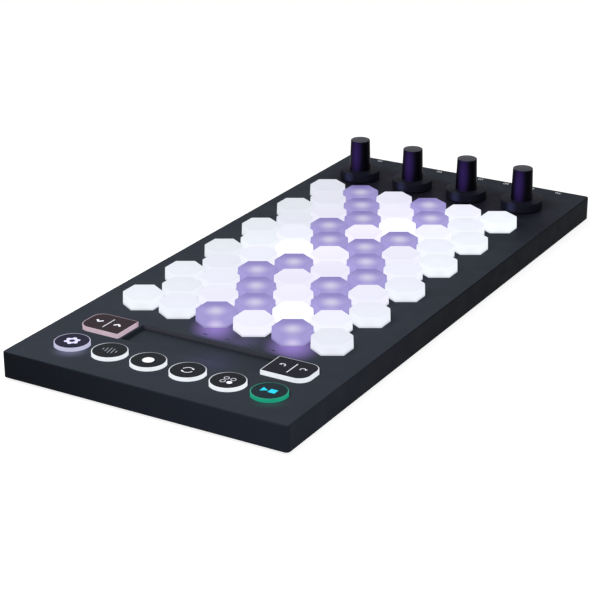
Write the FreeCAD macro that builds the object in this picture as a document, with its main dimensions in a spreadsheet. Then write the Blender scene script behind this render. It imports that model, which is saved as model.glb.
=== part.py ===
import FreeCAD, Part
import math
import os
import Sketcher

# A desktop controller with sixty-one hexagonal keys, four encoders, six round
# buttons, two rockers and a finger channel. Millimetres, +Z up, +Y to the rear.
# The origin is the middle of the rectangle that the feet's lowest plane covers.

SIZES = {
    # Housing
    "case_width": 176.0,
    "case_length": 384.0,
    "wall_height": 14.7,
    "case_wall": 2.2,
    "deck_thickness": 2.0,
    "case_corner": 2.2,
    "deck_edge_round": 0.7,
    "base_thickness": 2.4,
    "base_clearance": 0.3,
    "rib_width": 1.6,
    "rib_pitch": 30.0,
    "cross_rib_pitch": 85.0,
    # Feet
    "foot_height": 1.8,
    "foot_radius": 6.5,
    "foot_draft": 12.0,
    "foot_inset_side": 20.0,
    "foot_inset_end": 20.0,
    # Posts and screws
    "post_radius": 3.2,
    "post_inset": 7.7,
    "post_pitch": 85.0,
    "screw_radius": 1.5,
    "screw_length": 7.5,
    "screw_head_radius": 2.8,
    "screw_head_height": 1.3,
    "screw_clearance": 0.1,
    "screw_head_clearance": 0.3,
    # Hexagonal keys
    "key_pitch": 24.28,
    "key_width": 20.3,
    "key_top_width": 19.64,
    "key_rise": 7.2,
    "key_bevel": 0.6,
    "key_first_row": 92.2,
    "key_clearance": 0.4,
    "key_travel": 1.2,
    "key_flange": 1.0,
    "key_hollow_width": 15.0,
    "key_hollow_gap": 1.3,
    "flange_gap": 0.3,
    # Light frame, boards, pads and lamps
    "frame_wall": 1.2,
    "frame_clearance": 0.3,
    "frame_height": 3.6,
    "board_thickness": 1.6,
    "board_margin": 2.5,
    "board_end_gap": 1.2,
    "pad_width": 9.0,
    "pad_height": 2.1,
    "pad_draft": 12.0,
    "lamp_length": 3.2,
    "lamp_width": 1.4,
    "lamp_height": 1.2,
    "lamp_offset": 6.1,
    "rear_board_lift": 1.2,
    "rear_board_depth": 58.0,
    "link_thickness": 0.5,
    "link_width": 22.0,
    "link_landing": 7.0,
    # Round buttons
    "button_radius": 9.86,
    "button_pitch": 24.56,
    "button_from_front": 26.7,
    "button_rise": 1.9,
    "button_clearance": 0.35,
    "button_wall": 1.4,
    "button_lip": 0.9,
    "cap_edge_bevel": 0.2,
    "button_stem_radius": 2.0,
    "button_stem_gap": 0.9,
    "face_inset": 0.5,
    "face_thickness": 0.5,
    "face_clearance": 0.05,
    "switch_width": 6.2,
    "switch_height": 2.7,
    # Rocker buttons
    "rocker_width": 26.7,
    "rocker_depth": 20.4,
    "rocker_from_front": 54.8,
    "rocker_rise": 2.3,
    "rocker_round": 6.8,
    "rocker_corner": 0.9,
    "rocker_wall": 1.5,
    "rocker_rim": 0.45,
    "rocker_skirt": 4.4,
    "rocker_clearance": 0.4,
    "rocker_stem_spread": 7.0,
    "pivot_drop": 3.2,
    "pivot_radius": 1.2,
    "pivot_length": 2.2,
    "pivot_clearance": 0.08,
    "bracket_wall": 1.5,
    "bracket_floor": 0.9,
    # Finger channel and its windows
    "channel_margin": 1.7,
    "channel_from_front": 56.0,
    "channel_depth": 21.6,
    "channel_drop": 2.8,
    "channel_floor": 1.5,
    "channel_slope": 10.0,
    "channel_end_wall": 0.8,
    "sensor_thickness": 0.6,
    "sensor_margin": 2.5,
    "window_pitch": 14.2,
    "window_from_front": 73.2,
    "window_length": 2.6,
    "window_width": 0.9,
    "window_clearance": 0.05,
    # Encoders and knobs
    "knob_pitch": 39.0,
    "knob_from_back": 41.6,
    "skirt_radius": 13.1,
    "skirt_height": 6.2,
    "skirt_wall": 1.6,
    "skirt_edge_bevel": 0.4,
    "knob_height": 26.7,
    "stalk_base_radius": 6.95,
    "stalk_top_radius": 6.3,
    "stalk_edge_bevel": 0.35,
    "stalk_foot_round": 0.8,
    "knob_lift": 0.9,
    "knob_travel": 0.5,
    "shaft_radius": 3.0,
    "shaft_flat": 1.5,
    "shaft_fit": 0.03,
    "shaft_grip": 13.0,
    "journal_radius": 2.4,
    "running_clearance": 0.05,
    "bushing_radius": 3.5,
    "bushing_height": 5.0,
    "bushing_hole_clearance": 0.2,
    "encoder_width": 12.4,
    "encoder_depth": 13.2,
    "encoder_floor": 0.6,
    "encoder_roof": 1.2,
    "cavity_radius": 5.4,
    "rotor_radius": 5.15,
    "rotor_height": 1.4,
    "rotor_drop": 1.2,
    "shaft_end_gap": 0.2,
    "nut_across": 10.0,
    "nut_height": 1.8,
    # Rear sockets
    "jack_width": 7.0,
    "jack_depth": 12.0,
    "jack_height": 5.6,
    "jack_nose_radius": 3.0,
    "jack_bore_radius": 1.8,
    "jack_bore_depth": 13.0,
    "jack_clearance": 0.15,
    "jack_wall_gap": 0.2,
    "jack_first": 12.5,
    "jack_pitch": 18.5,
    "jack_single": -18.0,
    "usb_from_middle": -63.0,
    "usb_width": 8.94,
    "usb_height": 3.2,
    "usb_depth": 7.4,
    "usb_shell": 0.35,
    "usb_side_flat": 0.02,
    "usb_back": 1.05,
    "usb_tongue": 0.7,
    "usb_tongue_width": 6.7,
    "usb_tongue_length": 5.65,
    "usb_clearance": 0.3,
    "wall_reveal": 0.1,
}

KEY_ROWS = 11
WIDE_ROW_KEYS = 6
NARROW_ROW_KEYS = 5
ROUND_BUTTONS = 6
KNOBS = 4
PAIRED_JACKS = 4
WINDOWS = 6
FOOT_ROWS = 3
POSTS_PER_SIDE = 5
LONG_RIBS = 5
CROSS_RIBS = 4
HEX_ROW_RATIO = math.sqrt(3) / 2
HEX_CORNER_RATIO = 1 / math.sqrt(3)
CUT_MARGIN = 1.0
SAME_PLACE = 1e-4
SAME_VOLUME = 1e-6
SIDES = {"left": -1, "right": 1}


class Size:
    """A length with its number and the sheet expression that gives it."""

    def __init__(self, value, text):
        self.value = float(value)
        self.text = text

    def _join(self, other, sign, value):
        return Size(value, f"({self.text} {sign} {other.text})")

    def __add__(self, other):
        other = as_size(other)
        return self._join(other, "+", self.value + other.value)

    def __sub__(self, other):
        other = as_size(other)
        return self._join(other, "-", self.value - other.value)

    def __mul__(self, other):
        other = as_size(other)
        return self._join(other, "*", self.value * other.value)

    def __truediv__(self, other):
        other = as_size(other)
        return self._join(other, "/", self.value / other.value)

    def __neg__(self):
        return Size(-self.value, f"(0 - {self.text})")


def as_size(item):
    """Wrap a plain number so that it can stand beside sheet values."""
    if isinstance(item, Size):
        return item
    return Size(item, f"({float(item)!r})")


class Sheet:
    """The driving sheet. Each name is an attribute that holds a Size."""

    def __init__(self, doc, values):
        page = doc.addObject("Spreadsheet::Sheet", "Sizes")
        for row, (name, value) in enumerate(values.items(), start=1):
            page.set(f"A{row}", name)
            page.set(f"B{row}", str(value))
            page.setAlias(f"B{row}", name)
            setattr(self, name, Size(value, f"Sizes.{name}"))


def origin_feature(body, role):
    """Find one of the body's own origin planes or axes."""
    for feature in body.Origin.OriginFeatures:
        if feature.Role == role:
            return feature
    raise ValueError(f"{body.Label} has no {role}")


def new_body(doc, label, x=0, y=0):
    """Start a body whose placement follows sheet values."""
    body = doc.addObject("PartDesign::Body", label)
    body.Label = label
    body.AllowCompound = True
    x, y = as_size(x), as_size(y)
    body.Placement = FreeCAD.Placement(FreeCAD.Vector(x.value, y.value, 0), FreeCAD.Rotation())
    for axis, size in (("x", x), ("y", y)):
        body.setExpression(f"Placement.Base.{axis}", size.text)
    return body


def new_sketch(body, name, role="XY_Plane", offset=0):
    """Start a sketch on an origin plane, moved along the plane's normal."""
    offset = as_size(offset)
    sketch = body.newObject("Sketcher::SketchObject", name)
    sketch.AttachmentSupport = (origin_feature(body, role), [""])
    sketch.MapMode = "FlatFace"
    sketch.AttachmentOffset = FreeCAD.Placement(FreeCAD.Vector(0, 0, offset.value), FreeCAD.Rotation())
    sketch.setExpression("AttachmentOffset.Base.z", offset.text)
    return sketch


def bind(sketch, kind, arguments, size):
    """Add one dimension to a sketch and bind it to its expression."""
    index = sketch.addConstraint(Sketcher.Constraint(kind, *arguments, size.value))
    sketch.setExpression(f"Constraints[{index}]", size.text)


def lock(sketch, geometry, point, x, y):
    """Hold a sketch point at sheet values from the sketch's origin."""
    bind(sketch, "DistanceX", (-1, 1, geometry, point), x)
    bind(sketch, "DistanceY", (-1, 1, geometry, point), y)


def polygon(sketch, corners):
    """Draw a closed outline through corners, each held by sheet values."""
    corners = [(as_size(x), as_size(y)) for x, y in corners]
    points = [FreeCAD.Vector(x.value, y.value, 0) for x, y in corners]
    count = len(points)
    first = sketch.GeometryCount
    lines = [Part.LineSegment(points[i], points[(i + 1) % count]) for i in range(count)]
    sketch.addGeometry(lines, False)
    for i in range(count):
        joint = (first + i, 2, first + (i + 1) % count, 1)
        sketch.addConstraint(Sketcher.Constraint("Coincident", *joint))
    for i, (x, y) in enumerate(corners):
        lock(sketch, first + i, 1, x, y)


def rectangle(sketch, left, right, front, back):
    """Draw a rectangle between four sheet values."""
    polygon(sketch, [(left, front), (right, front), (right, back), (left, back)])


def centred_rectangle(sketch, x, y, width, depth):
    """Draw a rectangle of a width and depth about a centre."""
    x, y, width, depth = as_size(x), as_size(y), as_size(width), as_size(depth)
    rectangle(sketch, x - width / 2, x + width / 2, y - depth / 2, y + depth / 2)


def hexagon(sketch, x, y, width):
    """Draw a hexagon with flat left and right sides, width across them."""
    x, y, width = as_size(x), as_size(y), as_size(width)
    half = width / 2
    corner = width * HEX_CORNER_RATIO
    polygon(sketch, [
        (x, y - corner), (x + half, y - corner / 2), (x + half, y + corner / 2),
        (x, y + corner), (x - half, y + corner / 2), (x - half, y - corner / 2),
    ])


def circle(sketch, x, y, radius):
    """Draw a circle held by sheet values."""
    x, y, radius = as_size(x), as_size(y), as_size(radius)
    shape = Part.Circle(FreeCAD.Vector(x.value, y.value, 0), FreeCAD.Vector(0, 0, 1), radius.value)
    index = sketch.addGeometry(shape, False)
    lock(sketch, index, 3, x, y)
    bind(sketch, "Radius", (index,), radius)


def rounded_rectangle(sketch, left, right, front, back, radii):
    """Draw a rectangle with a radius for each corner, from front left, turning left."""
    left, right, front, back = (as_size(v) for v in (left, right, front, back))
    radii = [as_size(r) for r in radii]
    centres = [
        (left + radii[0], front + radii[0]), (right - radii[1], front + radii[1]),
        (right - radii[2], back - radii[2]), (left + radii[3], back - radii[3]),
    ]
    first = sketch.GeometryCount
    arcs = []
    for i, ((x, y), radius) in enumerate(zip(centres, radii)):
        start = math.radians(180 + 90 * i)
        ring = Part.Circle(FreeCAD.Vector(x.value, y.value, 0), FreeCAD.Vector(0, 0, 1), radius.value)
        arcs.append(Part.ArcOfCircle(ring, start, start + math.pi / 2))
    lines = [Part.LineSegment(arcs[i].EndPoint, arcs[(i + 1) % 4].StartPoint) for i in range(4)]
    sketch.addGeometry(arcs + lines, False)
    for i in range(4):
        arc, line, following = first + i, first + 4 + i, first + (i + 1) % 4
        sketch.addConstraint(Sketcher.Constraint("Tangent", arc, 2, line, 1))
        sketch.addConstraint(Sketcher.Constraint("Tangent", line, 2, following, 1))
    for i, ((x, y), radius) in enumerate(zip(centres, radii)):
        lock(sketch, first + i, 3, x, y)
        bind(sketch, "Radius", (first + i,), radius)


def extrude(body, kind, name, sketch, length, flip=False, taper=None):
    """Pad or pocket a sketch by a sheet length."""
    length = as_size(length)
    feature = body.newObject(f"PartDesign::{kind}", name)
    feature.Profile = sketch
    feature.Length = length.value
    feature.setExpression("Length", length.text)
    feature.Reversed = flip
    if taper is not None:
        feature.TaperAngle = taper.value
        feature.setExpression("TaperAngle", taper.text)
    return feature


def pad(body, name, sketch, length, flip=False, taper=None):
    """Add material along the sketch's normal."""
    return extrude(body, "Pad", name, sketch, length, flip, taper)


def pocket(body, name, sketch, length, flip=False, taper=None):
    """Cut material against the sketch's normal, or along it when flipped."""
    return extrude(body, "Pocket", name, sketch, length, flip, taper)


def loft(body, name, sketches):
    """Join outlines at different heights by flat faces."""
    feature = body.newObject("PartDesign::AdditiveLoft", name)
    feature.Profile = sketches[0]
    feature.Sections = sketches[1:]
    feature.Ruled = True
    return feature


def revolve(body, name, sketch):
    """Turn a half section about the vertical axis."""
    feature = body.newObject("PartDesign::Revolution", name)
    feature.Profile = sketch
    feature.ReferenceAxis = (sketch, ["V_Axis"])
    feature.Angle = 360
    return feature


def half_section(body, name, points):
    """Sketch a half section in the XZ plane and turn it about the Z axis."""
    sketch = new_sketch(body, f"{name}_section", "XZ_Plane")
    polygon(sketch, points)
    return revolve(body, name, sketch)


def repeat(body, name, features, counts, pitches):
    """Repeat features along X and Y, count by count, at sheet pitches."""
    pattern = body.newObject("PartDesign::LinearPattern", name)
    pattern.Originals = features
    for suffix, axis, count, pitch in zip(("", "2"), ("X_Axis", "Y_Axis"), counts, pitches):
        extent = pitch * max(count - 1, 1)
        setattr(pattern, f"Direction{suffix}", (origin_feature(body, axis), [""]))
        setattr(pattern, f"Mode{suffix}", "Extent")
        setattr(pattern, f"Length{suffix}", as_size(extent).value)
        pattern.setExpression(f"Length{suffix}", as_size(extent).text)
        setattr(pattern, f"Occurrences{suffix}", count)
    body.Tip = pattern
    return pattern


def mirror(body, name, features, role="YZ_Plane"):
    """Mirror features across one of the body's origin planes."""
    feature = body.newObject("PartDesign::Mirrored", name)
    feature.Originals = features
    feature.MirrorPlane = (origin_feature(body, role), [""])
    body.Tip = feature
    return feature


def soften(body, name, base, size, wanted, kind="Fillet"):
    """Round or bevel the edges of a feature that a test picks."""
    FreeCAD.ActiveDocument.recompute()
    edges = [f"Edge{i}" for i, edge in enumerate(base.Shape.Edges, start=1) if wanted(edge)]
    if not edges:
        raise ValueError(f"{body.Label} {name} found no edges")
    feature = body.newObject(f"PartDesign::{kind}", name)
    feature.Base = (base, edges)
    setting = "Radius" if kind == "Fillet" else "Size"
    setattr(feature, setting, size.value)
    feature.setExpression(setting, size.text)
    return feature


def edge_at_height(height):
    """Make a test for level edges at a height."""

    def test(edge):
        box = edge.BoundBox
        return max(abs(box.ZMin - height.value), abs(box.ZMax - height.value)) < SAME_PLACE

    return test


def ring_edge(height, radius):
    """Make a test for a circle of a radius at a height."""
    at_height = edge_at_height(height)

    def test(edge):
        round_edge = isinstance(edge.Curve, Part.Circle) and at_height(edge)
        return round_edge and abs(edge.Curve.Radius - radius.value) < SAME_PLACE

    return test


class Levels:
    """Heights and places that several pieces share, worked out from the sheet."""

    def __init__(self, s):
        self.deck = s.foot_height + s.wall_height
        self.deck_under = self.deck - s.deck_thickness
        self.base_top = s.foot_height + s.base_thickness
        self.flange_top = self.deck_under - s.flange_gap
        self.flange_bottom = self.flange_top - s.key_flange
        self.board_top = self.deck_under - s.frame_height
        self.board_under = self.board_top - s.board_thickness
        self.rear_under = self.base_top + s.rear_board_lift
        self.rear_top = self.rear_under + s.board_thickness
        self.case_half = s.case_width / 2
        self.case_end = s.case_length / 2
        self.inner_half = self.case_half - s.case_wall
        self.inner_end = self.case_end - s.case_wall
        self.row_pitch = s.key_pitch * HEX_ROW_RATIO
        self.first_row = s.key_first_row - self.case_end
        self.last_row = self.first_row + self.row_pitch * (KEY_ROWS - 1)
        self.key_opening = s.key_width + s.key_clearance * 2
        self.flange_width = s.key_pitch - s.frame_wall - s.frame_clearance * 2
        self.frame_opening = s.key_pitch - s.frame_wall
        self.first_key = -(s.key_pitch * ((WIDE_ROW_KEYS - 1) / 2))
        self.frame_half = s.key_pitch * (WIDE_ROW_KEYS / 2) + s.frame_wall / 2
        self.frame_end_margin = self.frame_opening * HEX_CORNER_RATIO + s.frame_wall
        self.board_half = self.frame_half + s.board_margin
        self.board_front = -(self.inner_end - s.board_end_gap)
        self.board_back = self.last_row + self.frame_end_margin + s.board_margin
        self.rear_back = self.inner_end - s.board_end_gap
        self.rear_front = self.rear_back - s.rear_board_depth
        self.button_row = s.button_from_front - self.case_end
        self.first_button = -(s.button_pitch * ((ROUND_BUTTONS - 1) / 2))
        self.rocker_row = s.rocker_from_front - self.case_end
        self.rocker_outer = s.button_pitch * ((ROUND_BUTTONS - 1) / 2) + s.button_radius
        self.rocker_middle = self.rocker_outer - s.rocker_width / 2
        self.pivot = self.deck - s.pivot_drop
        self.channel_half = self.rocker_outer - s.rocker_width - s.channel_margin
        self.channel_row = s.channel_from_front - self.case_end
        self.channel_bottom = self.deck - s.channel_drop - s.channel_floor
        self.knob_row = self.case_end - s.knob_from_back
        self.first_knob = -(s.knob_pitch * ((KNOBS - 1) / 2))
        self.post_x = self.case_half - s.post_inset
        self.first_post = -(s.post_pitch * ((POSTS_PER_SIDE - 1) / 2))
        self.first_rib = -(s.rib_pitch * ((LONG_RIBS - 1) / 2))
        self.switch_top = self.board_top + s.switch_height
        self.stem_bottom = self.switch_top + s.button_stem_gap
        self.jack_axis = self.rear_top + s.jack_height / 2
        self.usb_middle = self.rear_top + s.usb_height / 2
        self.shaft_top = self.deck + s.skirt_height + s.shaft_grip
        self.cavity_floor = self.rear_top + s.encoder_floor
        self.cavity_roof = self.deck_under - s.encoder_roof


def key_field(body, name, s, levels, plane, draw, make):
    """Make a feature on each of the sixty-one key places.

    draw(sketch, x, y) draws one outline about a key's middle, and
    make(sketch, label) turns it into a feature. The wide rows and the narrow
    rows between them are two grids of the same pitch.
    """
    grids = (
        ("wide", levels.first_key, levels.first_row, WIDE_ROW_KEYS, (KEY_ROWS + 1) // 2),
        ("narrow", levels.first_key + s.key_pitch / 2, levels.first_row + levels.row_pitch,
         NARROW_ROW_KEYS, KEY_ROWS // 2),
    )
    for label, x, y, across, along in grids:
        sketch = new_sketch(body, f"{name}_{label}_outline", offset=plane)
        draw(sketch, x, y)
        feature = make(sketch, f"{name}_{label}")
        repeat(body, f"{name}_{label}_grid", [feature], (across, along),
               (s.key_pitch, levels.row_pitch * 2))


def hexagons(width):
    """Make a drawing step that draws a hexagon of a width about a place."""

    def draw(sketch, x, y):
        hexagon(sketch, x, y, width)

    return draw


def build_cover_shell(body, s, levels):
    """Outer housing: rounded tray, open below, with thickened channel floor."""
    outline = new_sketch(body, "outer_outline", offset=s.foot_height)
    corners = [s.case_corner] * 4
    rounded_rectangle(outline, -levels.case_half, levels.case_half,
                      -levels.case_end, levels.case_end, corners)
    block = pad(body, "outer_block", outline, s.wall_height)
    soften(body, "deck_edge", block, s.deck_edge_round, edge_at_height(levels.deck))
    hollow = new_sketch(body, "inner_outline", offset=s.foot_height)
    rectangle(hollow, -levels.inner_half, levels.inner_half, -levels.inner_end, levels.inner_end)
    pocket(body, "inner_hollow", hollow, s.wall_height - s.deck_thickness, flip=True)


def build_cover_channel(body, s, levels):
    """Finger channel with sloping walls, sunk between the two rockers."""
    half = levels.channel_half
    front = levels.channel_row - s.channel_depth / 2
    back = levels.channel_row + s.channel_depth / 2
    under = new_sketch(body, "channel_underside", offset=levels.channel_bottom)
    rectangle(under, -half - s.channel_end_wall, half + s.channel_end_wall,
              front - s.channel_floor, back + s.channel_floor)
    pad(body, "channel_body", under, levels.deck_under - levels.channel_bottom)
    mouth = new_sketch(body, "channel_mouth", offset=levels.deck)
    rectangle(mouth, -half, half, front, back)
    pocket(body, "channel_cut", mouth, s.channel_drop, taper=-s.channel_slope)


def build_cover_brackets(body, s, levels):
    """Pivot brackets that hang from the deck at both ends of each rocker."""
    reach = s.rocker_depth / 2 + s.rocker_clearance
    thickness = s.pivot_length - s.rocker_clearance
    half = s.pivot_radius + s.pivot_clearance + s.bracket_wall
    bottom = levels.pivot - s.pivot_radius - s.pivot_clearance - s.bracket_floor
    made = []
    for label, near in (("front", levels.rocker_row - reach - thickness),
                        ("back", levels.rocker_row + reach)):
        plate = new_sketch(body, f"bracket_{label}_outline", offset=bottom)
        rectangle(plate, levels.rocker_middle - half, levels.rocker_middle + half,
                  near, near + thickness)
        made.append(pad(body, f"bracket_{label}", plate, levels.deck_under - bottom))
    mirror(body, "bracket_pair", made)
    bore = new_sketch(body, "pivot_bore_outline", "XZ_Plane", -(levels.rocker_row + reach + thickness))
    circle(bore, levels.rocker_middle, levels.pivot, s.pivot_radius + s.pivot_clearance)
    drill = pocket(body, "pivot_bore", bore, (reach + thickness) * 2, flip=True)
    mirror(body, "pivot_bore_pair", [drill])


def build_cover_openings(body, s, levels):
    """Deck openings for keys, buttons, rockers, windows and encoders."""
    depth = s.deck_thickness + CUT_MARGIN
    above = levels.deck + CUT_MARGIN / 2

    def cut(sketch, name):
        return pocket(body, name, sketch, depth)

    key_field(body, "key_opening", s, levels, above, hexagons(levels.key_opening), cut)
    holes = new_sketch(body, "button_hole_outline", offset=above)
    circle(holes, levels.first_button, levels.button_row, s.button_radius + s.button_clearance)
    repeat(body, "button_holes", [cut(holes, "button_hole")], (ROUND_BUTTONS, 1), (s.button_pitch, 1))
    rocker = new_sketch(body, "rocker_hole_outline", offset=above)
    gap = s.rocker_clearance
    outline_rocker(rocker, s, levels.rocker_middle, levels.rocker_row, 1, gap)
    mirror(body, "rocker_holes", [cut(rocker, "rocker_hole")])
    window = new_sketch(body, "window_outline", offset=above)
    centred_rectangle(window, -(s.window_pitch * ((WINDOWS - 1) / 2)),
                      s.window_from_front - levels.case_end, s.window_length, s.window_width)
    repeat(body, "window_slots", [cut(window, "window_slot")], (WINDOWS, 1), (s.window_pitch, 1))
    encoder = new_sketch(body, "encoder_hole_outline", offset=above)
    circle(encoder, levels.first_knob, levels.knob_row, s.bushing_radius + s.bushing_hole_clearance)
    repeat(body, "encoder_holes", [cut(encoder, "encoder_hole")], (KNOBS, 1), (s.knob_pitch, 1))


def build_cover_posts(body, s, levels):
    """Screw posts down both sides, each with its pilot hole."""
    ring = new_sketch(body, "post_outline", offset=levels.base_top)
    circle(ring, -levels.post_x, levels.first_post, s.post_radius)
    post = pad(body, "post", ring, levels.deck_under - levels.base_top)
    counts = (2, POSTS_PER_SIDE)
    pitches = (levels.post_x * 2, s.post_pitch)
    repeat(body, "posts", [post], counts, pitches)
    pilot = new_sketch(body, "pilot_outline", offset=levels.base_top)
    circle(pilot, -levels.post_x, levels.first_post, s.screw_radius + s.shaft_fit)
    hole = pocket(body, "pilot_hole", pilot, s.screw_length, flip=True)
    repeat(body, "pilot_holes", [hole], counts, pitches)


def build_cover_ports(body, s, levels):
    """Rear wall openings for the jacks and the rounded slot of the USB socket."""
    reach = s.case_wall + CUT_MARGIN * 2
    plane = -(levels.case_end + CUT_MARGIN)
    jack = new_sketch(body, "jack_hole_outline", "XZ_Plane", plane)
    circle(jack, s.jack_first, levels.jack_axis, s.jack_nose_radius + s.jack_clearance)
    hole = pocket(body, "jack_hole", jack, reach, flip=True)
    repeat(body, "jack_holes", [hole], (PAIRED_JACKS, 1), (s.jack_pitch, 1))
    single = new_sketch(body, "single_jack_outline", "XZ_Plane", plane)
    circle(single, s.jack_single, levels.jack_axis, s.jack_nose_radius + s.jack_clearance)
    pocket(body, "single_jack_hole", single, reach, flip=True)
    usb = new_sketch(body, "usb_hole_outline", "XZ_Plane", plane)
    outline_usb(usb, s, levels, s.usb_clearance)
    pocket(body, "usb_hole", usb, reach, flip=True)


def outline_usb(sketch, s, levels, margin):
    """Draw the rounded slot of the socket, grown by a margin."""
    half_width = s.usb_width / 2 + margin
    half_height = s.usb_height / 2 + margin
    rounded_rectangle(sketch, s.usb_from_middle - half_width, s.usb_from_middle + half_width,
                      levels.usb_middle - half_height, levels.usb_middle + half_height,
                      [half_height - s.usb_side_flat / 2] * 4)


def outline_rocker(sketch, s, x, y, side, margin, small=None):
    """Draw a rocker outline: broad rounding on the case side, small at the channel."""
    half_width = s.rocker_width / 2 + margin
    half_depth = s.rocker_depth / 2 + margin
    broad = s.rocker_round + margin
    small = small or s.rocker_corner + margin
    radii = [small, broad, broad, small] if side > 0 else [broad, small, small, broad]
    rounded_rectangle(sketch, as_size(x) - half_width, as_size(x) + half_width,
                      as_size(y) - half_depth, as_size(y) + half_depth, radii)


def build_top_cover(doc, s, levels):
    """Moulded housing with every opening of the deck and the rear wall."""
    body = new_body(doc, "top_cover")
    build_cover_shell(body, s, levels)
    build_cover_channel(body, s, levels)
    build_cover_posts(body, s, levels)
    build_cover_brackets(body, s, levels)
    build_cover_openings(body, s, levels)
    build_cover_ports(body, s, levels)
    return body


def build_base_plate(doc, s, levels):
    """Floor of the case: a plate with board ribs and counterbored screw holes."""
    body = new_body(doc, "base_plate")
    plate = new_sketch(body, "plate_outline", offset=s.foot_height)
    half = levels.inner_half - s.base_clearance
    end = levels.inner_end - s.base_clearance
    rectangle(plate, -half, half, -end, end)
    pad(body, "plate", plate, s.base_thickness)
    left, right = levels.first_rib - s.rib_width / 2, levels.first_rib + s.rib_width / 2
    long_rib = new_sketch(body, "long_rib_outline", offset=levels.base_top)
    rectangle(long_rib, left, right, levels.board_front, levels.last_row)
    rib = pad(body, "long_rib", long_rib, levels.board_under - levels.base_top)
    repeat(body, "long_ribs", [rib], (LONG_RIBS, 1), (s.rib_pitch, 1))
    cross_rib = new_sketch(body, "cross_rib_outline", offset=levels.base_top)
    rectangle(cross_rib, levels.first_rib, -levels.first_rib,
              levels.button_row - s.rib_width / 2, levels.button_row + s.rib_width / 2)
    cross = pad(body, "cross_rib", cross_rib, levels.board_under - levels.base_top)
    repeat(body, "cross_ribs", [cross], (1, CROSS_RIBS), (1, s.cross_rib_pitch))
    low_rib = new_sketch(body, "rear_rib_outline", offset=levels.base_top)
    rectangle(low_rib, left, right, levels.rear_front, levels.rear_back)
    low = pad(body, "rear_rib", low_rib, s.rear_board_lift)
    repeat(body, "rear_ribs", [low], (LONG_RIBS, 1), (s.rib_pitch, 1))
    counts = (2, POSTS_PER_SIDE)
    pitches = (levels.post_x * 2, s.post_pitch)
    bore = new_sketch(body, "screw_hole_outline", offset=levels.base_top)
    circle(bore, -levels.post_x, levels.first_post, s.screw_radius + s.screw_clearance)
    hole = pocket(body, "screw_hole", bore, s.base_thickness)
    repeat(body, "screw_holes", [hole], counts, pitches)
    seat = new_sketch(body, "head_seat_outline", offset=s.foot_height)
    circle(seat, -levels.post_x, levels.first_post, s.screw_head_radius + s.screw_head_clearance)
    sink = pocket(body, "head_seat", seat, s.screw_head_height + s.screw_clearance, flip=True)
    repeat(body, "head_seats", [sink], counts, pitches)
    return body


def build_rubber_feet(doc, s, levels):
    """Six flat rubber feet bonded under the base."""
    body = new_body(doc, "rubber_feet")
    disc = new_sketch(body, "foot_outline", offset=s.foot_height)
    x = levels.case_half - s.foot_inset_side
    y = levels.case_end - s.foot_inset_end
    circle(disc, -x, -y, s.foot_radius)
    foot = pad(body, "foot", disc, s.foot_height, flip=True, taper=-s.foot_draft)
    repeat(body, "feet", [foot], (2, FOOT_ROWS), (x * 2, y * 2 / (FOOT_ROWS - 1)))
    return body


def build_case_screws(doc, s, levels):
    """Ten pan-head screws that hold the base to the cover's posts."""
    body = new_body(doc, "case_screws")
    head_top = s.foot_height + s.screw_head_height + s.screw_clearance
    head_bottom = head_top - s.screw_head_height
    head = new_sketch(body, "head_outline", offset=head_bottom)
    circle(head, -levels.post_x, levels.first_post, s.screw_head_radius)
    cap = pad(body, "head", head, s.screw_head_height)
    shank = new_sketch(body, "shank_outline", offset=head_top)
    circle(shank, -levels.post_x, levels.first_post, s.screw_radius)
    length = levels.base_top + s.screw_length - head_top - s.screw_clearance
    rod = pad(body, "shank", shank, length)
    counts = (2, POSTS_PER_SIDE)
    repeat(body, "screws", [cap, rod], counts, (levels.post_x * 2, s.post_pitch))
    return body


def build_main_board(doc, s, levels):
    """Circuit board under the keys, buttons and channel."""
    body = new_body(doc, "main_board")
    outline = new_sketch(body, "board_outline", offset=levels.board_under)
    rectangle(outline, -levels.board_half, levels.board_half, levels.board_front, levels.board_back)
    pad(body, "board", outline, s.board_thickness)
    return body


def build_rear_board(doc, s, levels):
    """Lower circuit board that carries the encoders and the rear sockets."""
    body = new_body(doc, "rear_board")
    outline = new_sketch(body, "board_outline", offset=levels.rear_under)
    rectangle(outline, -levels.board_half, levels.board_half, levels.rear_front, levels.rear_back)
    pad(body, "board", outline, s.board_thickness)
    return body


def build_board_link(doc, s, levels):
    """Flat ribbon from the main board's underside down to the rear board."""
    body = new_body(doc, "board_link")
    side = new_sketch(body, "ribbon_side", "YZ_Plane", -(s.link_width / 2))
    upper = levels.board_under
    lower = levels.rear_top
    near = levels.board_back
    far = levels.rear_front
    thick = s.link_thickness
    polygon(side, [
        (near - s.link_landing, upper - thick), (near, upper - thick), (far, lower),
        (far + s.link_landing, lower), (far + s.link_landing, lower + thick),
        (far + thick, lower + thick), (near + thick / 2, upper), (near - s.link_landing, upper),
    ])
    pad(body, "ribbon", side, s.link_width)
    return body


def build_key_frame(doc, s, levels):
    """Light frame: a thin wall between every two keys, clamped on the board."""
    body = new_body(doc, "key_frame")
    outline = new_sketch(body, "frame_outline", offset=levels.board_top)
    rectangle(outline, -levels.frame_half, levels.frame_half,
              levels.first_row - levels.frame_end_margin, levels.last_row + levels.frame_end_margin)
    pad(body, "frame", outline, s.frame_height)

    def cut(sketch, name):
        return pocket(body, name, sketch, s.frame_height + CUT_MARGIN)

    key_field(body, "cell", s, levels, levels.deck_under + CUT_MARGIN / 2,
              hexagons(levels.frame_opening), cut)
    return body


def build_sensor_pads(doc, s, levels):
    """Sixty-one force pads on the board, one inside each key's hollow."""
    body = new_body(doc, "sensor_pads")

    def raise_pad(sketch, name):
        return pad(body, name, sketch, s.pad_height, taper=-s.pad_draft)

    key_field(body, "pad", s, levels, levels.board_top, hexagons(s.pad_width), raise_pad)
    return body


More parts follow.
